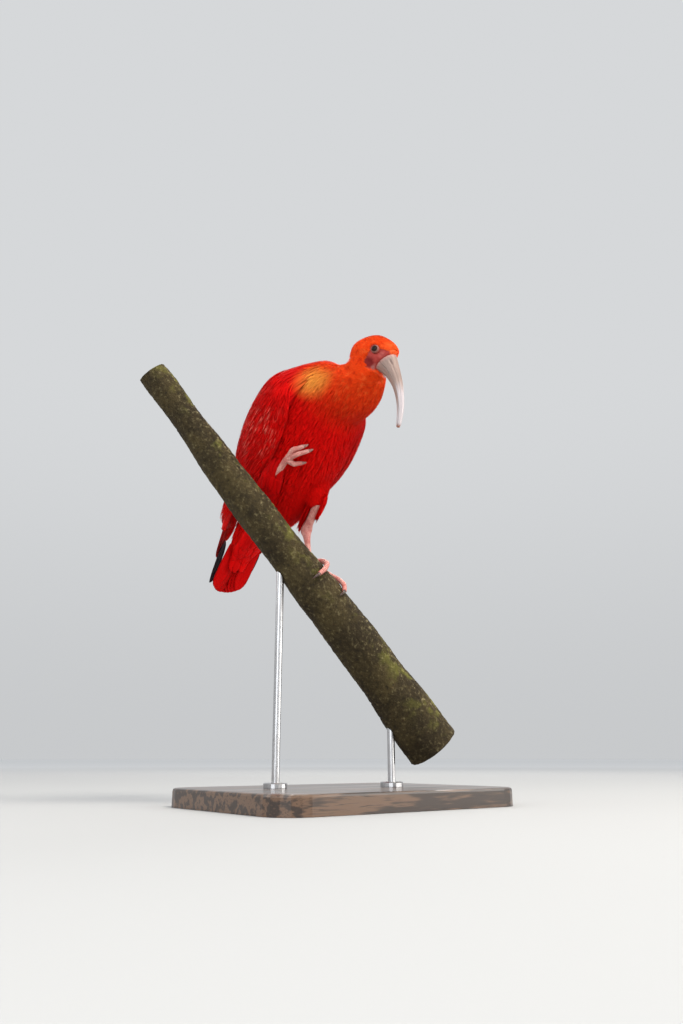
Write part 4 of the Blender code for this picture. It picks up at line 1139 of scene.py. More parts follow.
@dataclass
class Skin:
    """The one skin of head, neck, trunk and thigh, with the beds of the wings and the tail."""

    voxel: float = 0.0013
    smoothing: int = 8

    def loft(self, name: str, rows: Rows, frame: Matrix, sink: float, lean: bool = False) -> Piece:
        """A form from sections across the x axis of a frame.

        Args:
            name: Name of the form.
            rows: Its sections.
            frame: The frame they are drawn in.
            sink: How far it lies inside them.
            lean: Whether its front edge leans over the bill.

        Returns:
            The form.
        """
        first, last = rows[0][0] + sink, rows[-1][0] - (0.0 if lean else sink)

        def place(around: Array, along: Array) -> Array:
            """Points of the loft."""
            x = first + (last - first) * along
            height, width, up, down = columns(rows, x)
            turn = math.tau * around
            reach = np.where(np.cos(turn) >= 0, up, down) - sink
            z = height + reach * np.cos(turn)
            if lean:
                share = np.clip((x - rows[-4][0]) / (rows[-1][0] - rows[-4][0]), 0, 1)
                x = x + FACE_LEAN * share**2 * (z - BILL_BASE_Z)
            return in_world(np.stack([x, (width - sink) * np.sin(turn), z], -1), frame)

        return closed_form(name, 72, 90, place)

    def neck(self) -> Piece:
        """The neck's tube."""
        def place(around: Array, along: Array) -> Array:
            """Points of the neck."""
            line = smooth_rows(NECK, along * 5.0)
            ahead = smooth_rows(NECK, along * 5.0 + 0.05) - smooth_rows(NECK, along * 5.0 - 0.05)
            ahead = unit(ahead[..., :3])
            side = unit(np.array((0.0, 1.0, 0.0)) - ahead * ahead[..., 1:2])
            turn = math.tau * around
            width = (line[..., 3] - NECK_COAT) * np.sin(turn)
            depth = (line[..., 4] - NECK_COAT) * np.cos(turn)
            made = line[..., :3] + side * width[..., None] + np.cross(ahead, side) * depth[..., None]
            return in_world(made, BODY)

        return closed_form("neck_form", 64, 60, place)

    def wing_bed(self, side: Side) -> Piece:
        """The closed pad under a folded wing."""
        def place(around: Array, along: Array) -> Array:
            """Points of the pad, out over it and back inside."""
            x = WING_EDGES[0][0] + (WING_EDGES[-1][0] - WING_EDGES[0][0]) * along
            top, low = columns(WING_EDGES, x)
            outer = around < 0.5
            share = np.where(outer, around * 2, 2 - around * 2)
            angle = np.radians(top + (low - top) * (0.06 + 0.88 * share))
            lift = np.where(outer, over_bed(x, angle, np.full_like(x, -0.0016), side), -0.0060)
            return in_world(over_guide(x, angle, lift, side), BODY)

        return closed_form("bed_form", 64, 90, place)

    def build(self, material: Material) -> Piece:
        """Join the forms into one smooth skin.

        Args:
            material: The skin's finish.

        Returns:
            The finished skin.
        """
        thigh = [BODY @ point for point, _ in THIGH]
        knee = thigh[-1] + (thigh[-1] - thigh[-2]).normalized() * 0.001
        thigh_radii = [radius - THIGH_COAT for _, radius in THIGH]
        tail_rows = [(-x, z, w, u, d) for x, z, w, u, d in reversed(TAIL_BED)]
        forms = [
            self.loft("trunk_form", TRUNK, BODY, TRUNK_COAT),
            self.neck(),
            self.loft("skull_form", SKULL, HEAD, HEAD_COAT, lean=True),
            closed_form("thigh_form", 40, 40, swept([thigh[0], thigh[1], knee], thigh_radii)),
            self.loft("tail_form", tail_rows, BODY @ TAIL, TAIL_COAT),
        ] + [self.wing_bed(side) for side in Side]
        select_only(*forms)
        bpy.ops.object.join()
        skin = bpy.context.object
        skin.name = skin.data.name = "skin"
        remesh = skin.modifiers.new("one_skin", "REMESH")
        remesh.mode = "VOXEL"
        remesh.voxel_size = self.voxel
        bpy.ops.object.modifier_apply(modifier="one_skin")
        smooth = skin.modifiers.new("eased", "SMOOTH")
        smooth.factor, smooth.iterations = 0.5, self.smoothing
        bpy.ops.object.modifier_apply(modifier="eased")
        self.mould_face(skin)
        dress(skin, material)
        return hand_over(skin, "orange_red", "head", "neck", "torso", "thigh_left")

    def mould_face(self, skin: Piece) -> None:
        """Press the sockets, the folds behind the gape and the lores into the face."""
        # Middle towards the bill and up, widening, depth, reach and steepness of each
        dents = (
            (EYE_AT.x, EYE_AT.z, 1.0, 0.0016, 0.0056, 4),
            (0.0200, -0.0085, 1.3, 0.0010, 0.0026, 2),
            (0.0250, 0.0035, 1.0, 0.0007, 0.0035, 2),
        )
        mesh = skin.data
        local = in_frame(read(mesh.vertices, "co"), HEAD)
        x, y, z = local.T.copy()
        on_head = (np.abs(y) > 0.004) & (x > 0.002) & (np.abs(z) < 0.03)
        sink = sum(
            depth * np.exp(-((np.hypot((x - ahead) / wide, z - up) / reach) ** power))
            for ahead, up, wide, depth, reach, power in dents
        )
        local[:, 1] -= np.sign(y) * sink * on_head
        mesh.vertices.foreach_set("co", in_world(local, HEAD).ravel())
        mesh.update()


def bed_lift(x: Array, angle: Array) -> Array:
    """Height of the wing's bed over the guide, as the solids have it."""
    top, low = columns(WING_EDGES, x)
    across = np.clip((np.degrees(angle) - top) / (low - top), 0, 1)
    along = np.clip((x - WING_EDGES[0][0]) / (WING_EDGES[-1][0] - WING_EDGES[0][0]), 0, 1)
    bulge = np.sin(math.pi * (0.04 + 0.92 * along)) * np.sin(math.pi * (0.06 + 0.88 * across))
    return 0.0012 + WING_BULGE * bulge**0.6


def over_bed(x: Array, angle: Array, height: Array, side: Side) -> Array:
    """Height over the guide for a height over the wing's bed, tucked in along the low edge.

    Args:
        x: Distance along the body.
        angle: Angle from the back, in radians.
        height: Height over the bed.
        side: Which wing; the one above the drawn-up leg stands off more.

    Returns:
        Height over the guide.
    """
    low = smooth_rows(WING_EDGES, x)[..., 1]
    tucked = stepped(-15.0, 1.0, np.degrees(angle) - low) * (0.9 if side is Side.LEFT else 0.35)
    return (bed_lift(x, angle) + height) * (1 - tucked) - 0.0010 * tucked


class Ground:
    """The skin as a surface to walk on, for laying feathers."""

    def __init__(self, skin: Piece) -> None:
        """Read the skin's triangles and smooth normals."""
        mesh = skin.data
        mesh.calc_loop_triangles()
        self.points = read(mesh.vertices, "co")
        self.normals = read(mesh.vertex_normals, "vector")
        self.faces = read(mesh.loop_triangles, "vertices", np.int32)
        self.tree = BVHTree.FromPolygons(self.points.tolist(), self.faces.tolist())

    def nearest(self, points: Array) -> tuple[Array, Array]:
        """The nearest places on the skin and the smooth normals there."""
        found, normals = np.empty_like(points), np.empty_like(points)
        for i, point in enumerate(points):
            place, _, face, _ = self.tree.find_nearest(point)
            found[i] = place
            a, b, c = self.faces[face]
            normals[i] = self.normals[a] + self.normals[b] + self.normals[c]
        return found, unit(normals)

    def sample(self, spacing: Callable[[Array], Array], seed: int) -> Array:
        """Places spread over the skin, each clear of the others by its own spacing.

        Args:
            spacing: Clear distance at places; 0 where nothing grows.
            seed: Seed of the draw.

        Returns:
            The places.
        """
        rng = np.random.default_rng(seed)
        corners = self.points[self.faces]
        first, second, third = np.moveaxis(corners, 1, 0)
        area = distances(np.cross(second - first, third - first)) / 2
        clear = spacing(corners.mean(1))
        wanted = np.where(clear > 0, area / np.maximum(clear, 1e-5) ** 2, 0.0) * CROWDING
        chosen = np.repeat(np.arange(len(wanted)), rng.poisson(wanted))
        rng.shuffle(chosen)
        a, b = rng.random((2, len(chosen), 1))
        turned = a + b > 1
        a, b = np.where(turned, 1 - a, a), np.where(turned, 1 - b, b)
        places = first[chosen] + a * (second - first)[chosen] + b * (third - first)[chosen]
        clear = spacing(places)
        keys = np.floor(places / float(clear.max())).astype(int)
        listed = places.tolist()
        grid: dict[tuple[int, int, int], list[int]] = {}
        kept: list[int] = []
        for n, ((i, j, k), reach) in enumerate(zip(keys.tolist(), clear.tolist())):
            x, y, z = listed[n]
            near = (
                listed[other]
                for di, dj, dk in product((-1, 0, 1), repeat=3)
                for other in grid.get((i + di, j + dj, k + dk), ())
            )
            if reach > 0 and not any(
                (ox - x) ** 2 + (oy - y) ** 2 + (oz - z) ** 2 < reach * reach for ox, oy, oz in near
            ):
                kept.append(n)
                grid.setdefault((i, j, k), []).append(n)
        return places[kept]


@dataclass
class Coat:
    """The contour feathers and the silky wisps over them, following the lie of the coat."""

    ground: Ground
    seed: int = 41
    # Feathers hanging from the knee: facing, spread, distance out and drop of each fan
    fans: tuple = ((0.25, 1.00, 0.0085, 0.0), (2.45, 0.85, 0.0110, 0.016))
    hanging: int = 150
    # The way out of the leg's outer side
    outer: tuple = (0.616, 0.788, 0.0)

    def lie(self, points: Array) -> Array:
        """The way the feathers point, before it is laid on the surface."""
        head, body = in_frame(points, HEAD), in_frame(points, BODY)
        share = stepped(-0.024, -0.004, head[:, 0]) * stepped(0.050, 0.034, distances(head))
        back_head = -np.array(HEAD.to_3x3())[:, 0]
        back_body = -np.array(BODY.to_3x3())[:, 0]
        way = share[:, None] * back_head + (1 - share)[:, None] * back_body
        hip, knee = np.array(HIP), np.array(KNEE)
        towards = (knee - hip) / np.linalg.norm(knee - hip)
        run = np.clip((points - hip) @ towards, 0, 0.05)
        off = np.linalg.norm(points - hip - run[:, None] * towards, axis=1)
        leg = stepped(0.026, 0.016, off) * stepped(0.012, 0.022, run)
        way = way * (1 - leg)[:, None] + towards * leg[:, None]
        sideways = np.array(BODY.to_3x3())[:, 1]
        drop = stepped(0.14, 0.02, np.abs(body[:, 0] - 0.04)) * 0.10
        return unit(way + sideways * (np.sign(body[:, 1]) * drop * (1 - share))[:, None])

    def length(self, points: Array) -> Array:
        """How long the feathers are at places on the skin."""
        head, body = in_frame(points, HEAD), in_frame(points, BODY)
        share = stepped(-0.030, -0.010, head[:, 0]) * stepped(0.052, 0.036, distances(head))
        on_head = 0.0034 + 0.0036 * stepped(0.018, -0.018, head[:, 0])
        on_body = smooth_rows(FEATHER_LENGTHS, body[:, 0])[:, 0]
        near_knee = stepped(0.050, 0.022, distances(points, np.array(KNEE)))
        on_body = on_body * (1 - 0.66 * near_knee)
        return (on_head * share + on_body * (1 - share)) * (1 + 0.45 * self.nape(points))

    def nape(self, points: Array) -> Array:
        """How near places are to the hollow between the nape and the shoulders, 0 to 1."""
        hollow = np.array(BODY @ Vector((0.128, -0.017, -0.046)))
        return stepped(0.015, 0.004, distances(points, hollow))

    def depth(self, length: Array) -> Array:
        """How far the coat stands over the skin for a feather length."""
        return np.interp(length, *zip(*COAT_DEPTHS))

    def bare(self, points: Array) -> Array:
        """Where no contour feather grows: the face, the wings' cover and the tail's bed."""
        head = in_frame(points, HEAD)
        x, y, z = head.T
        ring = np.hypot(x - EYE_AT.x, z - EYE_AT.z) < 0.0050
        lore = (z < 0.0078 + (x - 0.0175) * 0.30) & (z > -0.0125)
        lore &= (x > 0.0150) & (x > 0.0128 + 0.30 * abs(z + 0.001))
        face = (ring | lore) & (np.abs(y) > 0.0045) & (x < 0.04) & (np.abs(z) < 0.02)
        front = (x > 0.0262 + FACE_LEAN * (z - BILL_BASE_Z)) & (x < 0.04)
        front &= (np.abs(z) < 0.016) & (np.abs(y) < 0.014)
        x, y, z = in_frame(points, BODY).T
        angle = np.degrees(np.arctan2(np.abs(y), z - smooth_rows(GUIDE, x)[:, 0]))
        top, low = columns(WING_EDGES, x)
        under = (x > -0.130) & (x < 0.074) & (angle > top + 5) & (angle < low - 2)
        return face | front | (under & (distances(head) > 0.05)) | (x < -0.128)

    def spots(self, points: Array) -> Array:
        """The roots' places on the unwrap of the skin."""
        head, body = in_frame(points, HEAD), in_frame(points, BODY)
        turn = np.arctan2(body[:, 1], body[:, 2] + 0.012) / math.tau + 0.5
        trunk = BakeArea.TRUNK.spot(turn, (body[:, 0] + 0.13) / 0.29)
        turn = np.arctan2(head[:, 1], head[:, 2]) / math.tau + 0.5
        skull = BakeArea.HEAD.spot(turn, (head[:, 0] + 0.024) / 0.056)
        on_head = (head[:, 0] > -0.022) & (distances(head) < 0.040)
        return np.where(on_head[:, None], skull, trunk)

    def grow(
        self, plumes: Plumes, roots: Array, stretch: float, slim: float, rise: tuple[float, float, float]
    ) -> None:
        """Lay feathers from their roots over the skin.

        Args:
            plumes: Where the feathers go.
            roots: Their roots.
            stretch: Their length over the plain length.
            slim: Their width over their length.
            rise: Root, middle and tip height as shares of the coat's depth.
        """
        rng = np.random.default_rng(self.seed + len(roots))
        count = len(roots)
        length = self.length(roots) * stretch * (0.82 + 0.36 * rng.random(count))
        depth = self.depth(self.length(roots)) * (1 + 1.3 * self.nape(roots))
        stations = np.array(plumes.shape.along)
        at, normal = self.ground.nearest(roots)
        lines, normals, sides = [], [], []
        swerve = rng.normal(0.0, 0.10, count)
        for k, share in enumerate(stations):
            way = self.lie(at)
            way = unit(way - normal * np.einsum("ij,ij->i", way, normal)[:, None])
            side = np.cross(normal, way)
            way = unit(way + side * swerve[:, None])
            side = np.cross(normal, way)
            lines.append(at)
            normals.append(normal)
            sides.append(side)
            if k + 1 < len(stations):
                step = (stations[k + 1] - share) * length
                at, normal = self.ground.nearest(at + way * step[:, None])
        line, out, across = (np.stack(v, 1)[:, :, None, :] for v in (lines, normals, sides))
        bend = 0.5 / np.maximum(0.011, length * 2.6)

        def put(t: Array, offset: Array, height: Array) -> Array:
            """Points over the skin, their edges bent down round it."""
            lowered = height - offset**2 * each(bend)
            return line + across * offset[..., None] + out * lowered[..., None]

        heights = tuple(depth * r * (0.85 + 0.3 * rng.random(count)) for r in rise)
        plumes.lay(put, length * slim, heights, self.spots(roots), rng.random(count))

    def trousers(self, plumes: Plumes, facing: float, spread: float, out_from: float, drop: float) -> None:
        """Hang feathers from the knee down one side of the bare leg.

        Args:
            plumes: Where the feathers go.
            facing: Turn of the fan's middle round the leg, from its outer side.
            spread: Half the fan's turn.
            out_from: Distance of the roots from the leg's line.
            drop: How far below the knee the fan starts.
        """
        rng = np.random.default_rng(self.seed + 3)
        count = self.hanging
        knee = np.array(KNEE)
        down = unit(np.array(GRIP + HOCK) - knee)
        outer = np.array(self.outer)
        outer = unit(outer - down * outer.dot(down))
        ahead = np.cross(outer, down)
        lean = rng.uniform(-spread, spread, count)
        turn = facing + lean
        out = outer * np.cos(turn)[:, None] + ahead * np.sin(turn)[:, None]
        up = rng.uniform(0.004, 0.018, count)[:, None]
        off = rng.uniform(0.6, 1.0, (count, 1)) * out_from + 0.10 * up
        roots = knee - down * (up - drop) + out * off
        length = (rng.uniform(0.016, 0.026, count) + 0.3 * drop) * (0.72 + 0.28 * np.cos(lean))
        across = np.cross(out, down)

        def put(t: Array, offset: Array, height: Array) -> Array:
            """Points of the hanging feathers, drawn in towards the leg at their tips."""
            run = (each(length) * t)[..., None]
            line = each(roots) + down * run - each(out) * run * 0.06
            return line + each(across) * offset[..., None] + each(out) * height[..., None]

        heights = tuple(np.full(count, h) for h in (-0.002, 0.0004, 0.0008))
        plumes.lay(put, length * 0.30, heights, self.spots(roots), rng.random(count))

    def build(self, material: Material, wispy: Material) -> None:
        """Lay the whole coat.

        Args:
            material: Finish of the contour feathers.
            wispy: Finish of the wisps.
        """
        def clear(share: float) -> Callable[[Array], Array]:
            """A spacing from the feathers' length."""
            return lambda points: np.where(self.bare(points), 0.0, self.length(points) * share)

        roots = self.ground.sample(clear(0.255), self.seed)
        small = self.length(roots) < SMALL_FEATHER
        for name, chosen, shape in (("coat_head", small, FINE_VANE), ("coat_body", ~small, SOFT_VANE)):
            plumes = Plumes(name, shape)
            self.grow(plumes, roots[chosen], 1.0, 0.50, (-0.25, 0.42, 0.66))
            for fan in self.fans if shape is SOFT_VANE else ():
                self.trousers(plumes, *fan)
            plumes.gather(material, "orange_red" if name == "coat_head" else "scarlet")
        wisps = self.ground.sample(clear(0.140), self.seed + 5)
        front = in_frame(wisps, BODY)[:, 0] > FRONT_FROM
        small, left = self.length(wisps) < SMALL_FEATHER, in_frame(wisps, HEAD)[:, 1] > 0.0
        for name, chosen in (
            ("wisps_head_left", small & left),
            ("wisps_head_right", small & ~left),
            ("wisps_front", front & ~small),
            ("wisps_rear", ~front & ~small),
        ):
            plumes = Plumes(name, WISP)
            self.grow(plumes, wisps[chosen], 0.98, 0.070, (0.20, 0.72, 0.98))
            plumes.gather(wispy, "scarlet" if name == "wisps_rear" else "orange_red")


@dataclass(frozen=True)
class Tier:
    """One row of wing feathers: root and tip along the body, angles, count, width and heights."""

    root: float
    tip: float
    root_angles: tuple[float, float]
    tip_angles: tuple[float, float]
    count: int
    width: float
    heights: tuple[float, float, float]
    shorter: float = 0.0
    deeper: float = 0.0


@dataclass
class Wing:
    """A folded wing, laid in rows from the wing's long feathers up to its shoulder."""

    side: Side
    coverts: tuple[Tier, ...] = (
        Tier(-0.008, -0.082, (14, 121), (17, 107), 27, 0.0095, (-0.0012, 0.0010, 0.0016)),
        Tier(0.004, -0.064, (14, 125), (16, 112), 28, 0.0092, (-0.0010, 0.0012, 0.0020)),
        Tier(0.015, -0.047, (15, 127), (15, 118), 29, 0.0090, (-0.0008, 0.0013, 0.0022)),
        Tier(0.026, -0.031, (17, 127), (15, 123), 29, 0.0087, (-0.0008, 0.0013, 0.0023)),
        Tier(0.036, -0.016, (21, 126), (17, 126), 28, 0.0084, (-0.0008, 0.0013, 0.0024)),
        Tier(0.046, -0.002, (26, 124), (21, 127), 26, 0.0081, (-0.0008, 0.0013, 0.0024)),
        Tier(0.055, 0.012, (31, 121), (26, 126), 24, 0.0077, (-0.0008, 0.0013, 0.0024)),
        Tier(0.062, 0.024, (36, 116), (31, 124), 22, 0.0073, (-0.0008, 0.0012, 0.0024)),
        Tier(0.069, 0.035, (41, 111), (37, 119), 19, 0.0069, (-0.0008, 0.0012, 0.0023)),
        Tier(0.076, 0.046, (46, 106), (43, 113), 16, 0.0065, (-0.0010, 0.0010, 0.0022)),
    )
    flights: tuple[Tier, ...] = (
        Tier(-0.108, -0.172, (40, 62), (42, 60), 4, 0.0125, (-0.0016, -0.0014, -0.0010), 0.004, 0.0009),
        Tier(-0.020, -0.152, (17, 112), (25, 91), 13, 0.0145, (-0.0014, 0.0006, 0.0008), 0.0052, 0.0),
        Tier(-0.012, -0.104, (16, 70), (20, 62), 7, 0.0155, (-0.0008, 0.0018, 0.0022), 0.006, 0.0),
    )
    scapulars: tuple[Tier, ...] = (
        Tier(0.074, 0.040, (34, 116), (30, 120), 24, 0.0085, (-0.0030, 0.0010, 0.0028)),
        Tier(0.083, 0.050, (32, 114), (32, 118), 23, 0.0085, (-0.0036, 0.0004, 0.0027)),
        Tier(0.091, 0.060, (30, 112), (32, 115), 22, 0.0082, (-0.0042, -0.0006, 0.0022)),
        Tier(0.099, 0.069, (28, 108), (30, 110), 19, 0.0080, (-0.0048, -0.0016, 0.0012)),
    )
    # Flank feathers over the shank of the drawn-up leg
    flank: tuple[Tier, ...] = (
        Tier(-0.030, -0.068, (126, 142), (129, 146), 12, 0.0062, (-0.0030, 0.0078, 0.0094)),
        Tier(-0.020, -0.056, (127, 143), (131, 148), 12, 0.0062, (-0.0030, 0.0070, 0.0092)),
        Tier(-0.008, -0.042, (128, 144), (132, 149), 12, 0.0062, (-0.0030, 0.0060, 0.0082)),
        Tier(0.002, -0.028, (130, 142), (134, 147), 10, 0.0058, (-0.0030, 0.0036, 0.0066)),
    )
    strands: int = 2600
    # Radius by which a strand's breadth becomes a turn round the body
    girth: float = 0.055
    tips: Tier = Tier(
        -0.146, -0.203, (42, 60), (44, 60), 4, 0.0125, (-0.0064, -0.0044, -0.0024), 0.0045, 0.0009
    )

    def spots(self, share: Array, x: Array | float) -> Array:
        """Places on the unwrap for shares down the wing and distances along the body."""
        return BakeArea[f"WING_{self.side.name}"].spot(share, (x + 0.16) / 0.24)

    def row(self, plumes: Plumes, tier: Tier, tilt: float, loose: bool = False) -> None:
        """Lay one row, each feather over the next one down the wing.

        Args:
            plumes: Where the feathers go.
            tier: The row.
            tilt: Rise across each feather.
            loose: Whether the row lies free of the wing's bed.
        """
        rng = np.random.default_rng(int(abs(tier.root) * 1e5) + tier.count)
        index = np.arange(tier.count)
        share = index / (tier.count - 1)
        jitter = rng.normal(0.0, 0.35, tier.count)
        first = np.radians(tier.root_angles[0] + (tier.root_angles[1] - tier.root_angles[0]) * share)
        last = np.radians(tier.tip_angles[0] + (tier.tip_angles[1] - tier.tip_angles[0]) * share + jitter)
        long_row = abs(tier.root - tier.tip) > 0.07
        vary = 0.0015 if long_row else 0.0030
        end = tier.tip + tier.shorter * index + rng.normal(0.0, vary, tier.count)
        start = tier.root + (np.zeros(tier.count) if long_row else rng.normal(0.0, 0.0012, tier.count))
        lower = tier.deeper * index + 0.00012 * (index % 2)

        def put(t: Array, offset: Array, height: Array) -> Array:
            """Points over the wing's bed."""
            x = each(start) + each(end - start) * t
            angle = each(first) + each(last - first) * t
            _, half_width, up, down = columns(GUIDE, x)
            reach = np.where(np.cos(angle) >= 0, up, down)
            radius = np.hypot(half_width * np.cos(angle), reach * np.sin(angle))
            turned = angle + offset / radius
            height = height - each(lower)
            lift = bed_lift(x, turned) + height if loose else over_bed(x, turned, height, self.side)
            return in_world(over_guide(x, turned, lift, self.side), BODY)

        spots = self.spots((first / math.pi * 180 - 10) / 110, np.full(tier.count, tier.root))
        width = tier.width * (0.94 + 0.12 * rng.random(tier.count))
        heights = tuple(height + rng.normal(0.0, 0.00010, tier.count) for height in tier.heights)
        plumes.lay(put, width, heights, spots, rng.random(tier.count), tilt)

    def soften(self, silk: Material, body: Material) -> None:
        """Lay loose strands over the rows, and body feathers over the wing's front.

        Args:
            silk: Finish of the strands.
            body: Finish of the body feathers.
        """
        rng = np.random.default_rng(61)
        count = self.strands
        start, share = rng.uniform(-0.095, 0.080, count), rng.uniform(0.03, 0.985, count)
        length, drift = rng.uniform(0.014, 0.028, count), rng.normal(0.0, 0.014, count)

        def put(t: Array, offset: Array, height: Array) -> Array:
            """Points of the strands, each at its own share between the wing's edges."""
            x = each(start) - each(length) * t
            top, low = columns(WING_EDGES, x)
            angle = np.radians(top + (low - top) * (each(share) + each(drift) * t))
            turned = angle + offset / self.girth
            lift = over_bed(x, turned, height, self.side)
            return in_world(over_guide(x, turned, lift, self.side), BODY)

        strands = Plumes(f"wing_silk_{self.side.word}", WISP, seed=19)
        heights = tuple(h + rng.normal(0.0, 0.0003, count) for h in (0.0006, 0.0026, 0.0032))
        width = rng.uniform(0.0010, 0.0021, count)
        strands.lay(put, width, heights, self.spots(share, start), rng.random(count))
        strands.gather(silk, "scarlet_deep")
        front = Plumes(f"scapulars_{self.side.word}", COVERT_VANE, seed=21)
        for tier in self.scapulars:
            self.row(front, tier, 0.04)
        for tier in self.flank if self.side is Side.RIGHT else ():
            self.row(front, tier, 0.04, loose=True)
        front.gather(body, "scarlet")

    def build(self, covert: Material, flight: Material, ink: Material) -> None:
        """Lay the wing.

        Args:
            covert: Finish of the small wing feathers.
            flight: Finish of the long ones.
            ink: Finish of the dark tips.
        """
        word = self.side.word
        rows = Plumes(f"wing_coverts_{word}", COVERT_VANE, seed=11)
        for tier in self.coverts:
            self.row(rows, tier, 0.10)
        piece = rows.gather(covert, "scarlet_deep")
        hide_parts(f"wing_{word}")
        long = Plumes(f"wing_flights_{word}", FLIGHT_VANE, seed=13)
        for tier in self.flights:
            self.row(long, tier, 0.0 if tier.deeper else 0.10)
        long.gather(flight, "scarlet_deep")
        dark = Plumes(f"wing_tips_{word}", FLIGHT_VANE, seed=17)
        self.row(dark, self.tips, 0.0)
        piece = dark.gather(ink, "ink_black")
        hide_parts(f"primaries_{word}")


@dataclass
class Tail:
    """The closed tail: eleven feathers in layers and the coverts over and under their roots."""

    length: float = 0.110
    pairs: int = 5
    width: float = 0.0205
    fan: float = math.radians(2.4)
    layer: float = 0.0010
    # Root and tip behind the tail's root, half spread, count, width and side of each row of coverts
    rows: tuple = (
        (-0.006, 0.034, 0.0150, 6, 0.0120, 1),
        (0.006, 0.046, 0.0140, 6, 0.0125, 1),
        (0.016, 0.056, 0.0120, 5, 0.0130, 1),
        (-0.008, 0.036, 0.0160, 7, 0.0125, -1),
        (0.004, 0.050, 0.0145, 6, 0.0130, -1),
        (0.016, 0.062, 0.0125, 5, 0.0135, -1),
        (0.028, 0.074, 0.0090, 4, 0.0135, -1),
    )

    def feathers(self, feather: Material, rng: np.random.Generator) -> None:
        """Lay the long feathers, the middle one on top."""
        ways = [(0.0, self.width * 1.12, 0, 0.0)]
        for layer, side in product(range(1, self.pairs + 1), Side):
            turn = side.value * self.fan * layer / self.pairs
            ways.append((side.value * self.width * 0.11 * layer, self.width, layer, turn))
        middle, width, layer, turn = (np.array(column, float) for column in zip(*ways))
        end = self.length - 0.0088 * (layer / self.pairs) ** 2
        start = 0.014

        def put(t: Array, offset: Array, height: Array) -> Array:
            """Points of the long feathers."""
            run = start + each(end - start) * t
            y = each(middle) * (0.5 + 0.5 * np.minimum(1, t / 0.3))
            y = y + each(np.tan(turn)) * run + offset
            z = 0.0028 - self.layer * each(layer) + height - 0.05 * np.abs(y)
            return in_world(np.stack([-run, y, z], -1), BODY @ TAIL)

        long = Plumes("tail_feathers", FLIGHT_VANE, seed=29)
        flat = np.zeros(len(width))
        spots = BakeArea.TAIL.spot(0.5 + middle / 0.03 + 0.02 * layer, 0.6 + 0.03 * layer)
        long.lay(put, width, (flat, flat, flat), spots, rng.random(len(width)))
        piece = long.gather(feather, "scarlet")
        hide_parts("tail")

    def coverts(self, covert: Material, rng: np.random.Generator) -> None:
        """Lay the small feathers over and under the roots of the long ones."""
        small = Plumes("tail_coverts", COVERT_VANE, seed=31)
        for root, tip, reach, count, size, side in self.rows:
            way = np.linspace(-1.0, 1.0, count)
            lift = 0.0005 * (np.arange(count) % 2)
            end = tip + rng.normal(0.0, 0.002, count)

            def put(t: Array, offset: Array, height: Array) -> Array:
                """Points over or under the tail's bed."""
                run = root + each(end - root) * t
                level, half_width, up, down = columns(TAIL_BED, np.maximum(run, 0.0))
                y = each(way) * reach * (1 - 0.25 * t) + offset
                arch = np.sqrt(np.maximum(0.05, 1 - (y / (half_width + 0.004)) ** 2))
                high = (up if side > 0 else down) * arch + height + each(lift)
                return in_world(np.stack([-run, y, level + side * high], -1), BODY @ TAIL)

            heights = tuple(np.full(count, h) for h in (-0.0012, 0.0006, 0.0018))
            spots = BakeArea.TAIL.spot(way * 0.4 + 0.5, np.full(count, 0.2 + root * 6 + 0.2 * (side > 0)))
            small.lay(put, np.full(count, size), heights, spots, rng.random(count))
        small.gather(covert, "scarlet")

    def build(self, feather: Material, covert: Material) -> None:
        """Lay the tail, its two kinds of feather from one draw."""
        rng = np.random.default_rng(23)
        self.feathers(feather, rng)
        self.coverts(covert, rng)


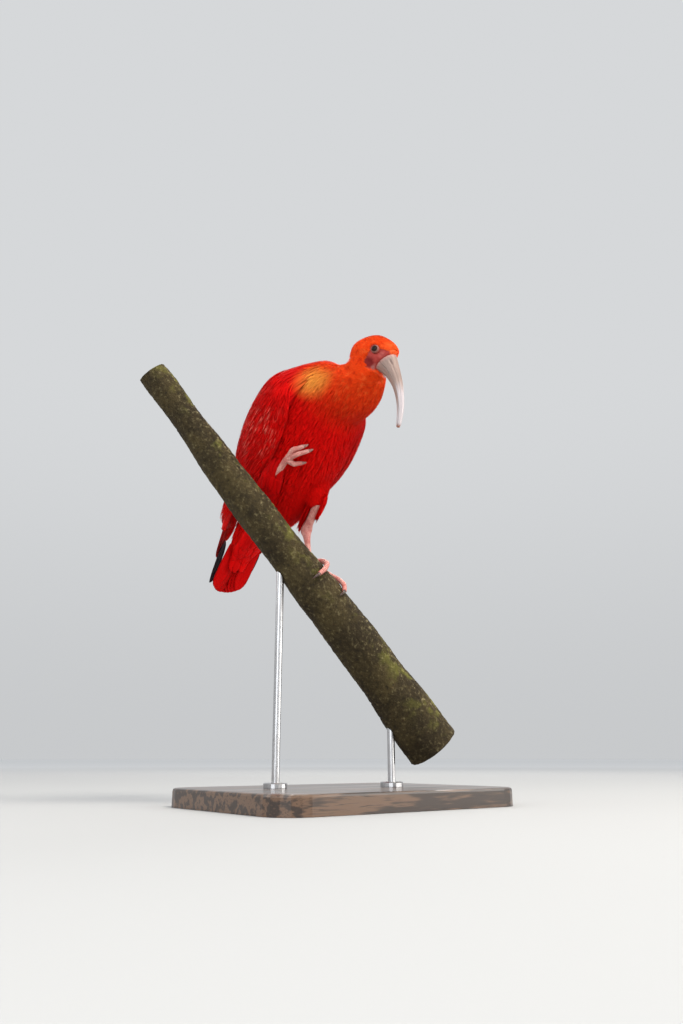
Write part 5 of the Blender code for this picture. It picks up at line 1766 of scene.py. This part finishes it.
@dataclass
class Bill:
    """The long bent bill, its halves apart along the line of the mouth."""

    length: float = 0.0805
    start: float = math.radians(15.8)
    bend: float = math.radians(48.7)
    # Share of the points round a half that lie on its outside
    lips: float = 0.80
    sections: Rows = (
        (0.00, 0.0098, 0.0126, -0.0036),
        (0.14, 0.0080, 0.0091, -0.0024),
        (0.32, 0.0059, 0.0064, -0.0012),
        (0.55, 0.0043, 0.0045, -0.0006),
        (0.80, 0.0032, 0.0033, -0.0002),
        (0.95, 0.0024, 0.0024, 0.0),
        (1.00, 0.0014, 0.0014, 0.0),
    )

    def relief(self, upper: bool, share: Array, angle: Array) -> Array:
        """Grooves, the nostril and fine ridges of the horn.

        Args:
            upper: Whether it is the upper half.
            share: Share of the bill's length.
            angle: Angle from the culmen.

        Returns:
            Height to add to the section.
        """
        around = np.abs(np.arctan2(np.sin(angle), np.cos(angle)))
        fade = stepped(0.02, 0.10, share) * stepped(0.95, 0.70, share)
        ridge = 0.00012 * np.sin(around * 19.0 + 3.0 * np.sin(share * 23.0)) * stepped(0.6, 0.0, share)
        if upper:
            groove = -0.00050 * np.exp(-(((around - 0.98) / 0.13) ** 2)) * fade
            run, rise = (share - 0.098) * self.length / 0.0030, (around - 0.98) / 0.10
            hole = -0.0011 * np.exp(-((run**2 + rise**2) ** 2))
            return groove + hole + ridge
        return -0.00040 * np.exp(-(((around - 2.25) / 0.16) ** 2)) * fade + ridge

    def half(self, upper: bool) -> Piece:
        """One half of the bill."""
        lean_top = math.tan(math.atan(FACE_LEAN) - self.start)

        def place(around: Array, along: Array) -> Array:
            """Points of the half: a rounded outside and a flat side along the mouth."""
            share = stepped(-0.02, 1.0, along) * 0.35 + along * 0.65
            share = np.clip((share - share.min()) / (share.max() - share.min()), 0, 1)
            width, depth, gape = columns(self.sections, share)
            edge = np.arccos(np.clip(gape / depth, -0.9, 0.9))
            outside = around < self.lips
            swing = np.where(outside, around / self.lips, (1 - around) / (1 - self.lips))
            if upper:
                angle = -edge + 2 * edge * swing
            else:
                angle = edge + (math.tau - 2 * edge) * swing
            high = depth * np.cos(angle)
            wide = width * np.sin(angle)
            added = self.relief(upper, share, angle)
            high = np.where(outside, high + added * np.cos(angle), gape)
            wide = np.where(outside, wide + added * np.sin(angle), wide)
            high = high + (GAP / 2 if upper else -GAP / 2)
            turn = self.start + self.bend * share
            radius = self.length / self.bend
            x = SKULL[-1][0] + GAP + radius * (np.sin(turn) - math.sin(self.start))
            z = BILL_BASE_Z + radius * (np.cos(turn) - math.cos(self.start))
            lean = lean_top * np.maximum(0, 1 - share / 0.3)
            x = x + high * (np.sin(turn) + np.cos(turn) * lean)
            z = z + high * (np.cos(turn) - np.sin(turn) * lean)
            return in_world(np.stack([x, wide, z], -1), HEAD)

        return closed_form("bill_upper_horn" if upper else "bill_lower_horn", 60, 150, place)

    def build(self) -> None:
        """Both halves, the lower one grey for longer, as painted shade along the bill's shaded lower side.
        """
        hand_over(dress(self.half(True), HornFinish().make()), "bill_horn", "bill_upper")
        # Painted shade: the lower half stays grey further out, for the shade along the bill's underside
        lower = HornFinish(whitens=(0.52, 0.90), name="bill_horn_lower_shaded").make()
        hand_over(dress(self.half(False), lower), "bill_horn", "bill_lower")


@dataclass
class Eye:
    """An eye in its lids."""

    side: Side
    radius: float = 0.0052
    wall: float = 0.00025

    def bent(self, polar: Array, turn: Array, radius: Array, *draw: float) -> Array:
        """Points round the eye's middle.

        Args:
            polar: Angle from the pole that points out of the head.
            turn: Angle round the pole.
            radius: Distance from the middle.
            draw: Stretch fore and aft, and up and down.

        Returns:
            The points.
        """
        x = radius * np.sin(polar) * np.cos(turn) * draw[0]
        z = radius * np.sin(polar) * np.sin(turn) * draw[1]
        y = radius * np.cos(polar) * self.side.value
        middle = np.array((EYE_AT.x, EYE_AT.y * self.side.value, EYE_AT.z))
        return in_world(np.stack([x, y, z], -1) + middle, HEAD)

    def ball(self) -> Piece:
        """The eyeball, its pole pointing out of the head."""
        def place(around: Array, along: Array) -> Array:
            """Points of the ball, a little fuller at the front."""
            polar = math.pi * along
            radius = self.radius * (1 + 0.05 * np.exp(-((polar / 0.55) ** 4)) - 0.03)
            return self.bent(polar, math.tau * around, radius, 1.0, 1.0)

        return closed_form(f"eyeball_{self.side.word}", 48, 40, place)

    def lids(self) -> Piece:
        """The ring of the lids: a rounded rim at the opening, folds, and a skirt into the skin."""
        profile = (
            (0.00, 45.0, 0.9700), (0.10, 43.5, 1.0000), (0.20, 45.0, 1.0250), (0.32, 48.5, 1.0350),
            (0.42, 53.0, 1.0200), (0.52, 58.0, 1.0200), (0.62, 64.0, 1.0000), (0.74, 72.0, 0.9700),
            (0.86, 84.0, 0.9300), (1.00, 84.0, 0.8600),
        )

        def place(around: Array, along: Array) -> Array:
            """Points of the lids, a little drawn out fore and aft."""
            turn = math.tau * around
            polar, high = columns(profile, along)
            crease = 0.012 * np.sin(turn * 9 + 1.0) * np.sin(math.pi * along) ** 2
            radius = self.radius * (high + crease)
            polar = np.radians(polar * (1.0 + 0.05 * np.cos(2 * turn)))
            return self.bent(polar, turn, radius, 1.03, 0.95)

        piece = closed_form(f"lids_{self.side.word}", 64, 26, place, poles=False)
        wall = piece.modifiers.new("wall", "SOLIDIFY")
        wall.thickness, wall.offset = self.wall, 0.0
        bpy.ops.object.modifier_apply(modifier="wall")
        return piece

    def build(self, eye: Material, lid: Material) -> None:
        """The eye and its lids."""
        hand_over(dress(self.ball(), eye), "eye_brown", f"eye_{self.side.word}")
        hand_over(dress(self.lids(), lid), "orange_red")


@dataclass
class Perch:
    """The cut length of branch."""

    slope: float = math.radians(49.1)
    turn: float = math.radians(16.0)
    radius: float = 0.0235
    taper: float = 0.014
    up: float = 0.28
    down: float = 0.228
    # Share of the grid's length that each sawn face takes
    lip: float = 0.016

    def axes(self) -> tuple[Array, Array, Array]:
        """Unit vectors down the branch, across it to the bird's front, and out of its top."""
        down = np.array(
            (
                math.sin(self.turn) * math.cos(self.slope),
                math.cos(self.turn) * math.cos(self.slope),
                -math.sin(self.slope),
            )
        )
        front = np.array((math.cos(self.turn), -math.sin(self.turn), 0.0))
        return down, front, np.cross(front, down)

    def reach(self, run: Array) -> Array:
        """Radius at a distance down from the grip."""
        plain = self.radius + self.taper * run / 0.5
        return plain + 0.0006 * np.sin(run * 38) + 0.0005 * np.sin(run * 71 + 1)

    def centre(self, run: Array) -> Array:
        """Middle at a distance down from the grip."""
        down, front, top = self.axes()
        start = np.array(GRIP) - top * self.reach(np.array(0.0))
        sway = 0.0022 * (np.sin(run * 17) - 17 * run / (1 + np.abs(run * 17)))
        return start + run[..., None] * down + sway[..., None] * (top - front * 0.6)

    def surface(self, run: Array, bearing: Array, lift: Array | float) -> Array:
        """Points above the bark; the bearing runs from the top to the bird's front."""
        _, front, top = self.axes()
        run, bearing = np.broadcast_arrays(np.asarray(run, float), np.asarray(bearing, float))
        outward = np.cos(bearing)[..., None] * top + np.sin(bearing)[..., None] * front
        return self.centre(run) + outward * (self.reach(run) + lift)[..., None]

    def rough(self, points: Array) -> Array:
        """Relief of the bark: slow dents, scaly plates and cracks."""
        made = np.empty(len(points))
        for i, (x, y, z) in enumerate(points):
            broad = noise.fractal(Vector((x, y, z * 0.7)) * 34.0, 1.0, 2.1, 4)
            fine = noise.fractal(Vector((x, y, z)) * 190.0, 0.8, 2.2, 3)
            crack = abs(noise.noise(Vector((x * 95.0, y * 95.0, z * 34.0))))
            made[i] = -0.0007 + 0.0008 * broad + 0.00042 * fine - 0.0007 * max(0.0, 0.10 - crack) * 10
        return np.clip(made, -0.0022, 0.0002)

    def form(self) -> Piece:
        """The branch's closed form."""
        def place(around: Array, along: Array) -> Array:
            """Points of the branch, its first and last share the sawn faces."""
            share = np.clip((along - self.lip) / (1 - 2 * self.lip), 0, 1)
            run = -self.up + (self.up + self.down) * share
            inner = np.clip(np.minimum(along, 1 - along) / self.lip, 0, 1)
            outline = self.surface(run, math.tau * around, 0.0)
            middle = self.centre(run)
            raised = (self.rough(outline) * (inner > 0.99))[:, None]
            outline = outline + unit(outline - middle) * raised
            return middle + (outline - middle) * (inner * (1 - 0.02 * (inner < 0.999)))[:, None]

        return closed_form("branch", 132, 420, place)

    def build(self, bark: Material, wood: CutWoodFinish) -> None:
        """The branch with its sawn ends."""
        piece = self.form()
        ends = [
            wood.make(Vector(self.centre(np.array(run))), name)
            for run, name in ((-self.up, "sawn_end_high"), (self.down, "sawn_end_low"))
        ]
        dress(piece, bark, *ends)
        down = Vector(self.axes()[0])
        select_only(piece)
        for face in piece.data.polygons:
            facing, run = face.normal.dot(down), (face.center - GRIP).dot(down)
            if facing < -0.9 and run < -self.up + 0.01:
                face.material_index = 1
            elif facing > 0.9 and run > self.down - 0.01:
                face.material_index = 2
        bpy.ops.object.shade_smooth_by_angle(angle=math.radians(50))
        hand_over(piece, "bark", "perch_branch")


def scutes(rings: float, depth: float, pads: float = 0.0) -> Place:
    """Relief of a leg or toe: overlapping plates along it, and pads on its joints."""
    def relief(around: Array, along: Array) -> Array:
        """Height over the plain form."""
        step = (along * rings + 0.18 * np.sin(math.tau * around)) % 1.0
        inside = stepped(0.0, 0.03, along) * stepped(1.0, 0.97, along)
        plate = depth * (step**0.6 - 0.6) * (0.6 + 0.4 * np.cos(math.tau * around))
        return (plate + pads * np.abs(np.sin(along * math.pi * 3)) ** 2) * inside

    return relief


@dataclass
class Legs:
    """The standing leg with its gripping foot, and the leg drawn up against the belly."""

    perch: Perch
    shank: float = 0.0050
    hock: float = 0.0066
    tarsus: float = 0.0032
    toe: float = 0.0034
    toe_tip: float = 0.0024
    claw: float = 0.0080
    foot_bearing: float = -38.0
    foot_run: float = -0.010
    grip_toes: tuple = (
        ((-0.003, 5.0), (0.001, 34.0), (0.003, 60.0), (0.003, 82.0)),
        ((0.012, -16.0), (0.023, 5.0), (0.030, 30.0), (0.035, 55.0)),
        ((0.008, -50.0), (0.022, -68.0), (0.030, -92.0), (0.032, -114.0)),
        ((-0.018, -44.0), (-0.024, -58.0), (-0.028, -74.0), (-0.029, -92.0)),
    )
    raised_hock: tuple = (-0.046, 137.0, 0.004)
    raised_ankle: tuple = (0.006, 143.0, 0.004)
    raised_toes: tuple = (
        ((0.0195, 145.0, 0.006), (0.0285, 153.0, 0.004)),
        ((0.0170, 149.5, 0.007), (0.0265, 159.0, 0.005)),
        ((0.0060, 151.5, 0.006), (0.0105, 158.0, 0.005)),
    )

    def joined(self, name: str, forms: list[Piece]) -> Piece:
        """Several forms as one piece."""
        select_only(*forms)
        if len(forms) > 1:
            bpy.ops.object.join()
        piece = bpy.context.object
        piece.name = piece.data.name = name
        return piece

    def claw_form(self, marks: list[Vector]) -> Piece:
        """A bent, pointed claw along its marks."""
        radii = [0.0019, 0.0018, 0.0014, 0.0009, 0.0004]
        return closed_form("claw", 16, 20, swept(marks, radii))

    def standing_leg(self, pad: Vector, ankle: Vector) -> Piece:
        """The bare leg from the knee to the foot's pad."""
        hock = GRIP + HOCK
        towards, below = (hock - KNEE).normalized(), (ankle - hock).normalized()
        start = KNEE - towards * 0.004
        marks = (
            (start, self.shank),
            (start.lerp(hock, 0.5), self.shank),
            (hock - towards * 0.009, self.hock * 0.80),
            (hock - towards * 0.003, self.hock),
            (hock + below * 0.003, self.hock * 0.97),
            (hock + below * 0.010, self.hock * 0.70),
            (hock.lerp(ankle, 0.55), self.tarsus),
            (ankle - below * 0.004, self.tarsus * 1.05),
            (ankle + below * 0.004, self.tarsus * 1.35),
        )
        return closed_form("leg_left_scaled", 40, 190, swept(*zip(*marks), scutes(46, 0.00034)))

    def grip_toe(self, way: tuple) -> Piece:
        """A toe laid over the branch along its marks."""
        marks = [(i, *mark) for i, mark in enumerate(((self.foot_run, self.foot_bearing), *way))]
        places = smooth_rows(marks, np.linspace(0.0, len(way), 14))
        share = np.linspace(0.0, 1.0, 14)
        radii = self.toe + (self.toe_tip - self.toe) * share
        points = self.perch.surface(places[:, 0], np.radians(places[:, 1]), GAP + radii * 1.04)
        radii = list(radii * (0.97 + 0.10 * np.sin(share * math.pi * 3.4) ** 2))
        return closed_form("toe", 28, 90, swept([Vector(p) for p in points], radii, scutes(22, 0.00028)))

    def grip_claw(self, run: float, degrees: float) -> Piece:
        """The claw past a toe's end on the branch."""
        bearing = math.radians(degrees)
        turn = math.copysign(self.claw / float(self.perch.reach(np.array(run))), bearing)
        arch = ((-0.14, 0.0025), (0.2, 0.0031), (0.5, 0.0028), (0.8, 0.0018), (1.0, 0.0007))
        marks = [self.perch.surface(run, bearing + turn * share, GAP + lift) for share, lift in arch]
        return self.claw_form([Vector(mark) for mark in marks])

    def standing(self, scale: Material, horn: Material) -> None:
        """The standing leg and its foot."""
        hock = GRIP + HOCK
        pad = Vector(self.perch.surface(self.foot_run, math.radians(self.foot_bearing), GAP + self.toe))
        ankle = pad + (hock - pad).normalized() * 0.008
        hand_over(dress(self.standing_leg(pad, ankle), scale), "leg_pink", "leg_left")
        toes, claws = [], []
        for way in self.grip_toes:
            toes.append(self.grip_toe(way))
            claws.append(self.grip_claw(*way[-1]))
        line = [pad - Vector((0, 0, 0.0005)), pad.lerp(ankle, 0.5), ankle]
        radii = [self.toe * 1.15, self.tarsus * 1.35, self.tarsus * 1.2]
        toes.append(closed_form("palm", 28, 24, swept(line, radii)))
        foot = self.joined("foot_left_scaled", toes)
        hand_over(dress(foot, scale), "leg_pink", "foot_left")
        hand_over(dress(self.joined("claws_left", claws), horn), "leg_pink")

    def raised(self, scale: Material, horn: Material) -> None:
        """The drawn-up leg and its closed foot."""
        def over(x: float, angle: float, lift: float) -> Vector:
            """A place over the belly's right side."""
            point = over_guide(np.array(x), np.radians(angle), np.array(lift), Side.RIGHT)
            return BODY @ Vector(point)

        hock, ankle = over(*self.raised_hock), over(*self.raised_ankle)
        middle = over(*((a + b) / 2 for a, b in zip(self.raised_hock, self.raised_ankle)))
        line = [hock, hock.lerp(middle, 0.3), middle, ankle]
        radii = [self.hock * 0.95, self.hock * 0.75, self.tarsus, self.tarsus * 1.1]
        leg = closed_form("leg_right_scaled", 36, 120, swept(line, radii, scutes(30, 0.00030)))
        hand_over(dress(leg, scale), "leg_pink", "leg_right")
        ahead = (ankle - middle).normalized()
        root = ankle - ahead * 0.001
        toes, claws = [], []
        for bend, end in self.raised_toes:
            knuckle, tip = over(*bend), over(*end)
            out = (tip - knuckle).normalized()
            lifted = over(end[0], end[1], end[2] + 0.002) - tip
            line = [root, root.lerp(knuckle, 0.5), knuckle, knuckle.lerp(tip, 0.5), tip]
            radii = [self.toe * share for share in (0.94, 0.88, 0.86, 0.74, 0.62)]
            toes.append(closed_form("toe", 24, 80, swept(line, radii, scutes(18, 0.00028))))
            marks = [
                tip + out * (self.claw * 0.6 * s) + lifted * drop
                for s, drop in ((-0.2, 0.0), (0.2, 0.05), (0.5, -0.1), (0.8, -0.4), (1.0, -0.7))
            ]
            claws.append(self.claw_form(marks))
        foot = self.joined("foot_right_scaled", toes)
        hand_over(dress(foot, scale), "leg_pink", "foot_right")
        hand_over(dress(self.joined("claws_right", claws), horn), "leg_pink")


@dataclass
class Stand:
    """The display stand, which keeps its solids and gets its finishes."""

    nodes: dict[str, Piece]

    def build(self, wood: Material, steel: Material) -> None:
        """Dress the base and the rods."""
        for name, material in (("stand_base", wood), ("stand_rod_low", steel), ("stand_rod_high", steel)):
            for slot in self.nodes[name].material_slots:
                slot.material = material


@dataclass(frozen=True)
class Stage:
    """Floor, lights, sky and camera."""

    camera_at: tuple = (0.67242, -0.52895, 0.04660)
    azimuth: float = 52.0
    upward: float = 17.389
    lens: float = 27.644
    pale: tuple = (0.44, 0.445, 0.45)
    far: tuple = (0.84, 0.85, 0.86)
    sky: tuple[float, float] = (0.60, 0.70)
    tint: tuple = (0.96, 0.98, 1.0)
    aim: tuple = (0.0, 0.0, 0.36)
    # Name, place, power, size and colour of each lamp
    lamps: tuple = (
        ("key", (1.15, 0.15, 1.85), 36.0, 0.7, (1.0, 0.94, 0.84)),
        ("fill", (1.3, -1.7, 0.9), 31.0, 2.0, (0.94, 0.97, 1.0)),
        ("bounce", (1.5, 1.3, 0.45), 33.0, 1.6, (1.0, 0.97, 0.92)),
        ("side", (-0.9, -1.7, 1.3), 13.0, 1.4, (1.0, 0.98, 0.96)),
        ("rim", (-1.2, 1.2, 1.8), 18.0, 1.2, (1.0, 0.97, 0.92)),
    )

    def camera(self) -> None:
        """Set the camera."""
        turn = (math.radians(90 + self.upward), 0.0, math.radians(self.azimuth))
        bpy.ops.object.camera_add(location=self.camera_at, rotation=turn)
        camera = bpy.context.object
        camera.data.lens = self.lens
        camera.data.clip_start = 0.01
        bpy.context.scene.camera = camera

    def floor(self) -> None:
        """Lay the floor, which pales with distance."""
        bpy.ops.object.select_all(action="DESELECT")
        bpy.ops.mesh.primitive_plane_add(size=60.0, location=(0.0, 0.0, -0.0002))
        floor = bpy.context.object
        floor.name = "floor"
        recipe = Recipe("pale_floor")
        out = recipe.far_from(recipe.place(), Vector((0.0, 0.0, 0.0)))
        tone = recipe.toned(self.pale, self.far, out, 0.6, 4.5)
        floor.data.materials.append(recipe.finish(tone, 1.0, Specular_IOR_Level=0.0))
        floor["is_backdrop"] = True

    def light(self) -> None:
        """Hang the lamps, all aimed at the bird."""
        for name, place, power, size, colour in self.lamps:
            bpy.ops.object.light_add(type="AREA", location=place)
            lamp = bpy.context.object
            lamp.name = name
            lamp.data.energy, lamp.data.size, lamp.data.color = power, size, colour
            aim = Vector(self.aim) - lamp.location
            lamp.rotation_euler = aim.to_track_quat("-Z", "Y").to_euler()

    def surround(self) -> None:
        """Make the sky, brighter upwards."""
        world = bpy.data.worlds.new("studio")
        world.use_nodes = True
        nodes, links = world.node_tree.nodes, world.node_tree.links
        backing = nodes["Background"]
        upward = nodes.new("ShaderNodeSeparateXYZ")
        links.new(nodes.new("ShaderNodeTexCoord").outputs["Generated"], upward.inputs[0])
        rise = nodes.new("ShaderNodeMapRange")
        rise.interpolation_type = "SMOOTHSTEP"
        for key, value in zip(("From Min", "From Max", "To Min", "To Max"), (0.0, 0.45, *self.sky)):
            rise.inputs[key].default_value = value
        links.new(upward.outputs[2], rise.inputs["Value"])
        links.new(rise.outputs[0], backing.inputs[1])
        backing.inputs[0].default_value = (*self.tint, 1.0)
        bpy.context.scene.world = world

    def build(self) -> None:
        """Set the stage."""
        self.camera()
        self.floor()
        self.light()
        self.surround()
        bpy.context.scene.view_settings.view_transform = "Standard"


def corners() -> list[list[float]]:
    """The shown object's box as plain lists."""
    return [[float(value) for value in corner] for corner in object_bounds()]


def main() -> None:
    """Build every piece in order."""
    logging.basicConfig(level=logging.INFO, format="%(name)s: %(message)s")
    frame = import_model()
    Stage().build()
    Stand(frame["nodes"]).build(BaseWoodFinish().make(), SteelFinish().make())
    perch = Perch()
    perch.build(BarkFinish().make(), CutWoodFinish())
    skin = Skin().build(SkinFinish().make())
    ground = Ground(skin)
    body = PlumeFinish("contour_feathers").make()
    Coat(ground).build(body, PlumeFinish("silky_wisps").make())
    # The wing finishes paint pale highlights on the feathers' rims and in streaks
    covert = PlumeFinish("wing_covert_feathers", pale_share=0.10, deep_share=0.25, strands=0.30).make()
    flight = PlumeFinish("flight_feathers", pale_share=0.35, deep_share=0.35, barbs=90.0).make()
    ink = PlumeFinish(
        "dark_tips", dark=(0.006, 0.007, 0.016), dark_from=0.02, deep_share=0.5, barbs=60.0, silky=0.32
    ).make()
    silk = PlumeFinish("wing_silk", deep_share=0.30, strands=0.60).make()
    scapular = PlumeFinish("scapular_feathers", deep_share=0.55, tones=(0.68, 0.84)).make()
    for side in Side:
        Wing(side).build(covert, flight, ink)
        Wing(side).soften(silk, scapular)
    tail = PlumeFinish("tail_vanes", deep_share=0.50, tones=(0.80, 1.0), barbs=90.0).make()
    Tail().build(tail, PlumeFinish("tail_covert_vanes", deep_share=0.45).make())
    Bill().build()
    eye, lid = EyeFinish().make(), LidFinish().make()
    for side in Side:
        Eye(side).build(eye, lid)
    scale, horn = ScaleFinish().make(), ClawFinish().make()
    legs = Legs(perch)
    legs.standing(scale, horn)
    pale_horn = ClawFinish(dark=(0.16, 0.070, 0.055), worn=(0.42, 0.20, 0.16), name="claw_horn_pale")
    legs.raised(scale, pale_horn.make())
    bpy.context.view_layer.update()


if __name__ == "__main__":
    main()
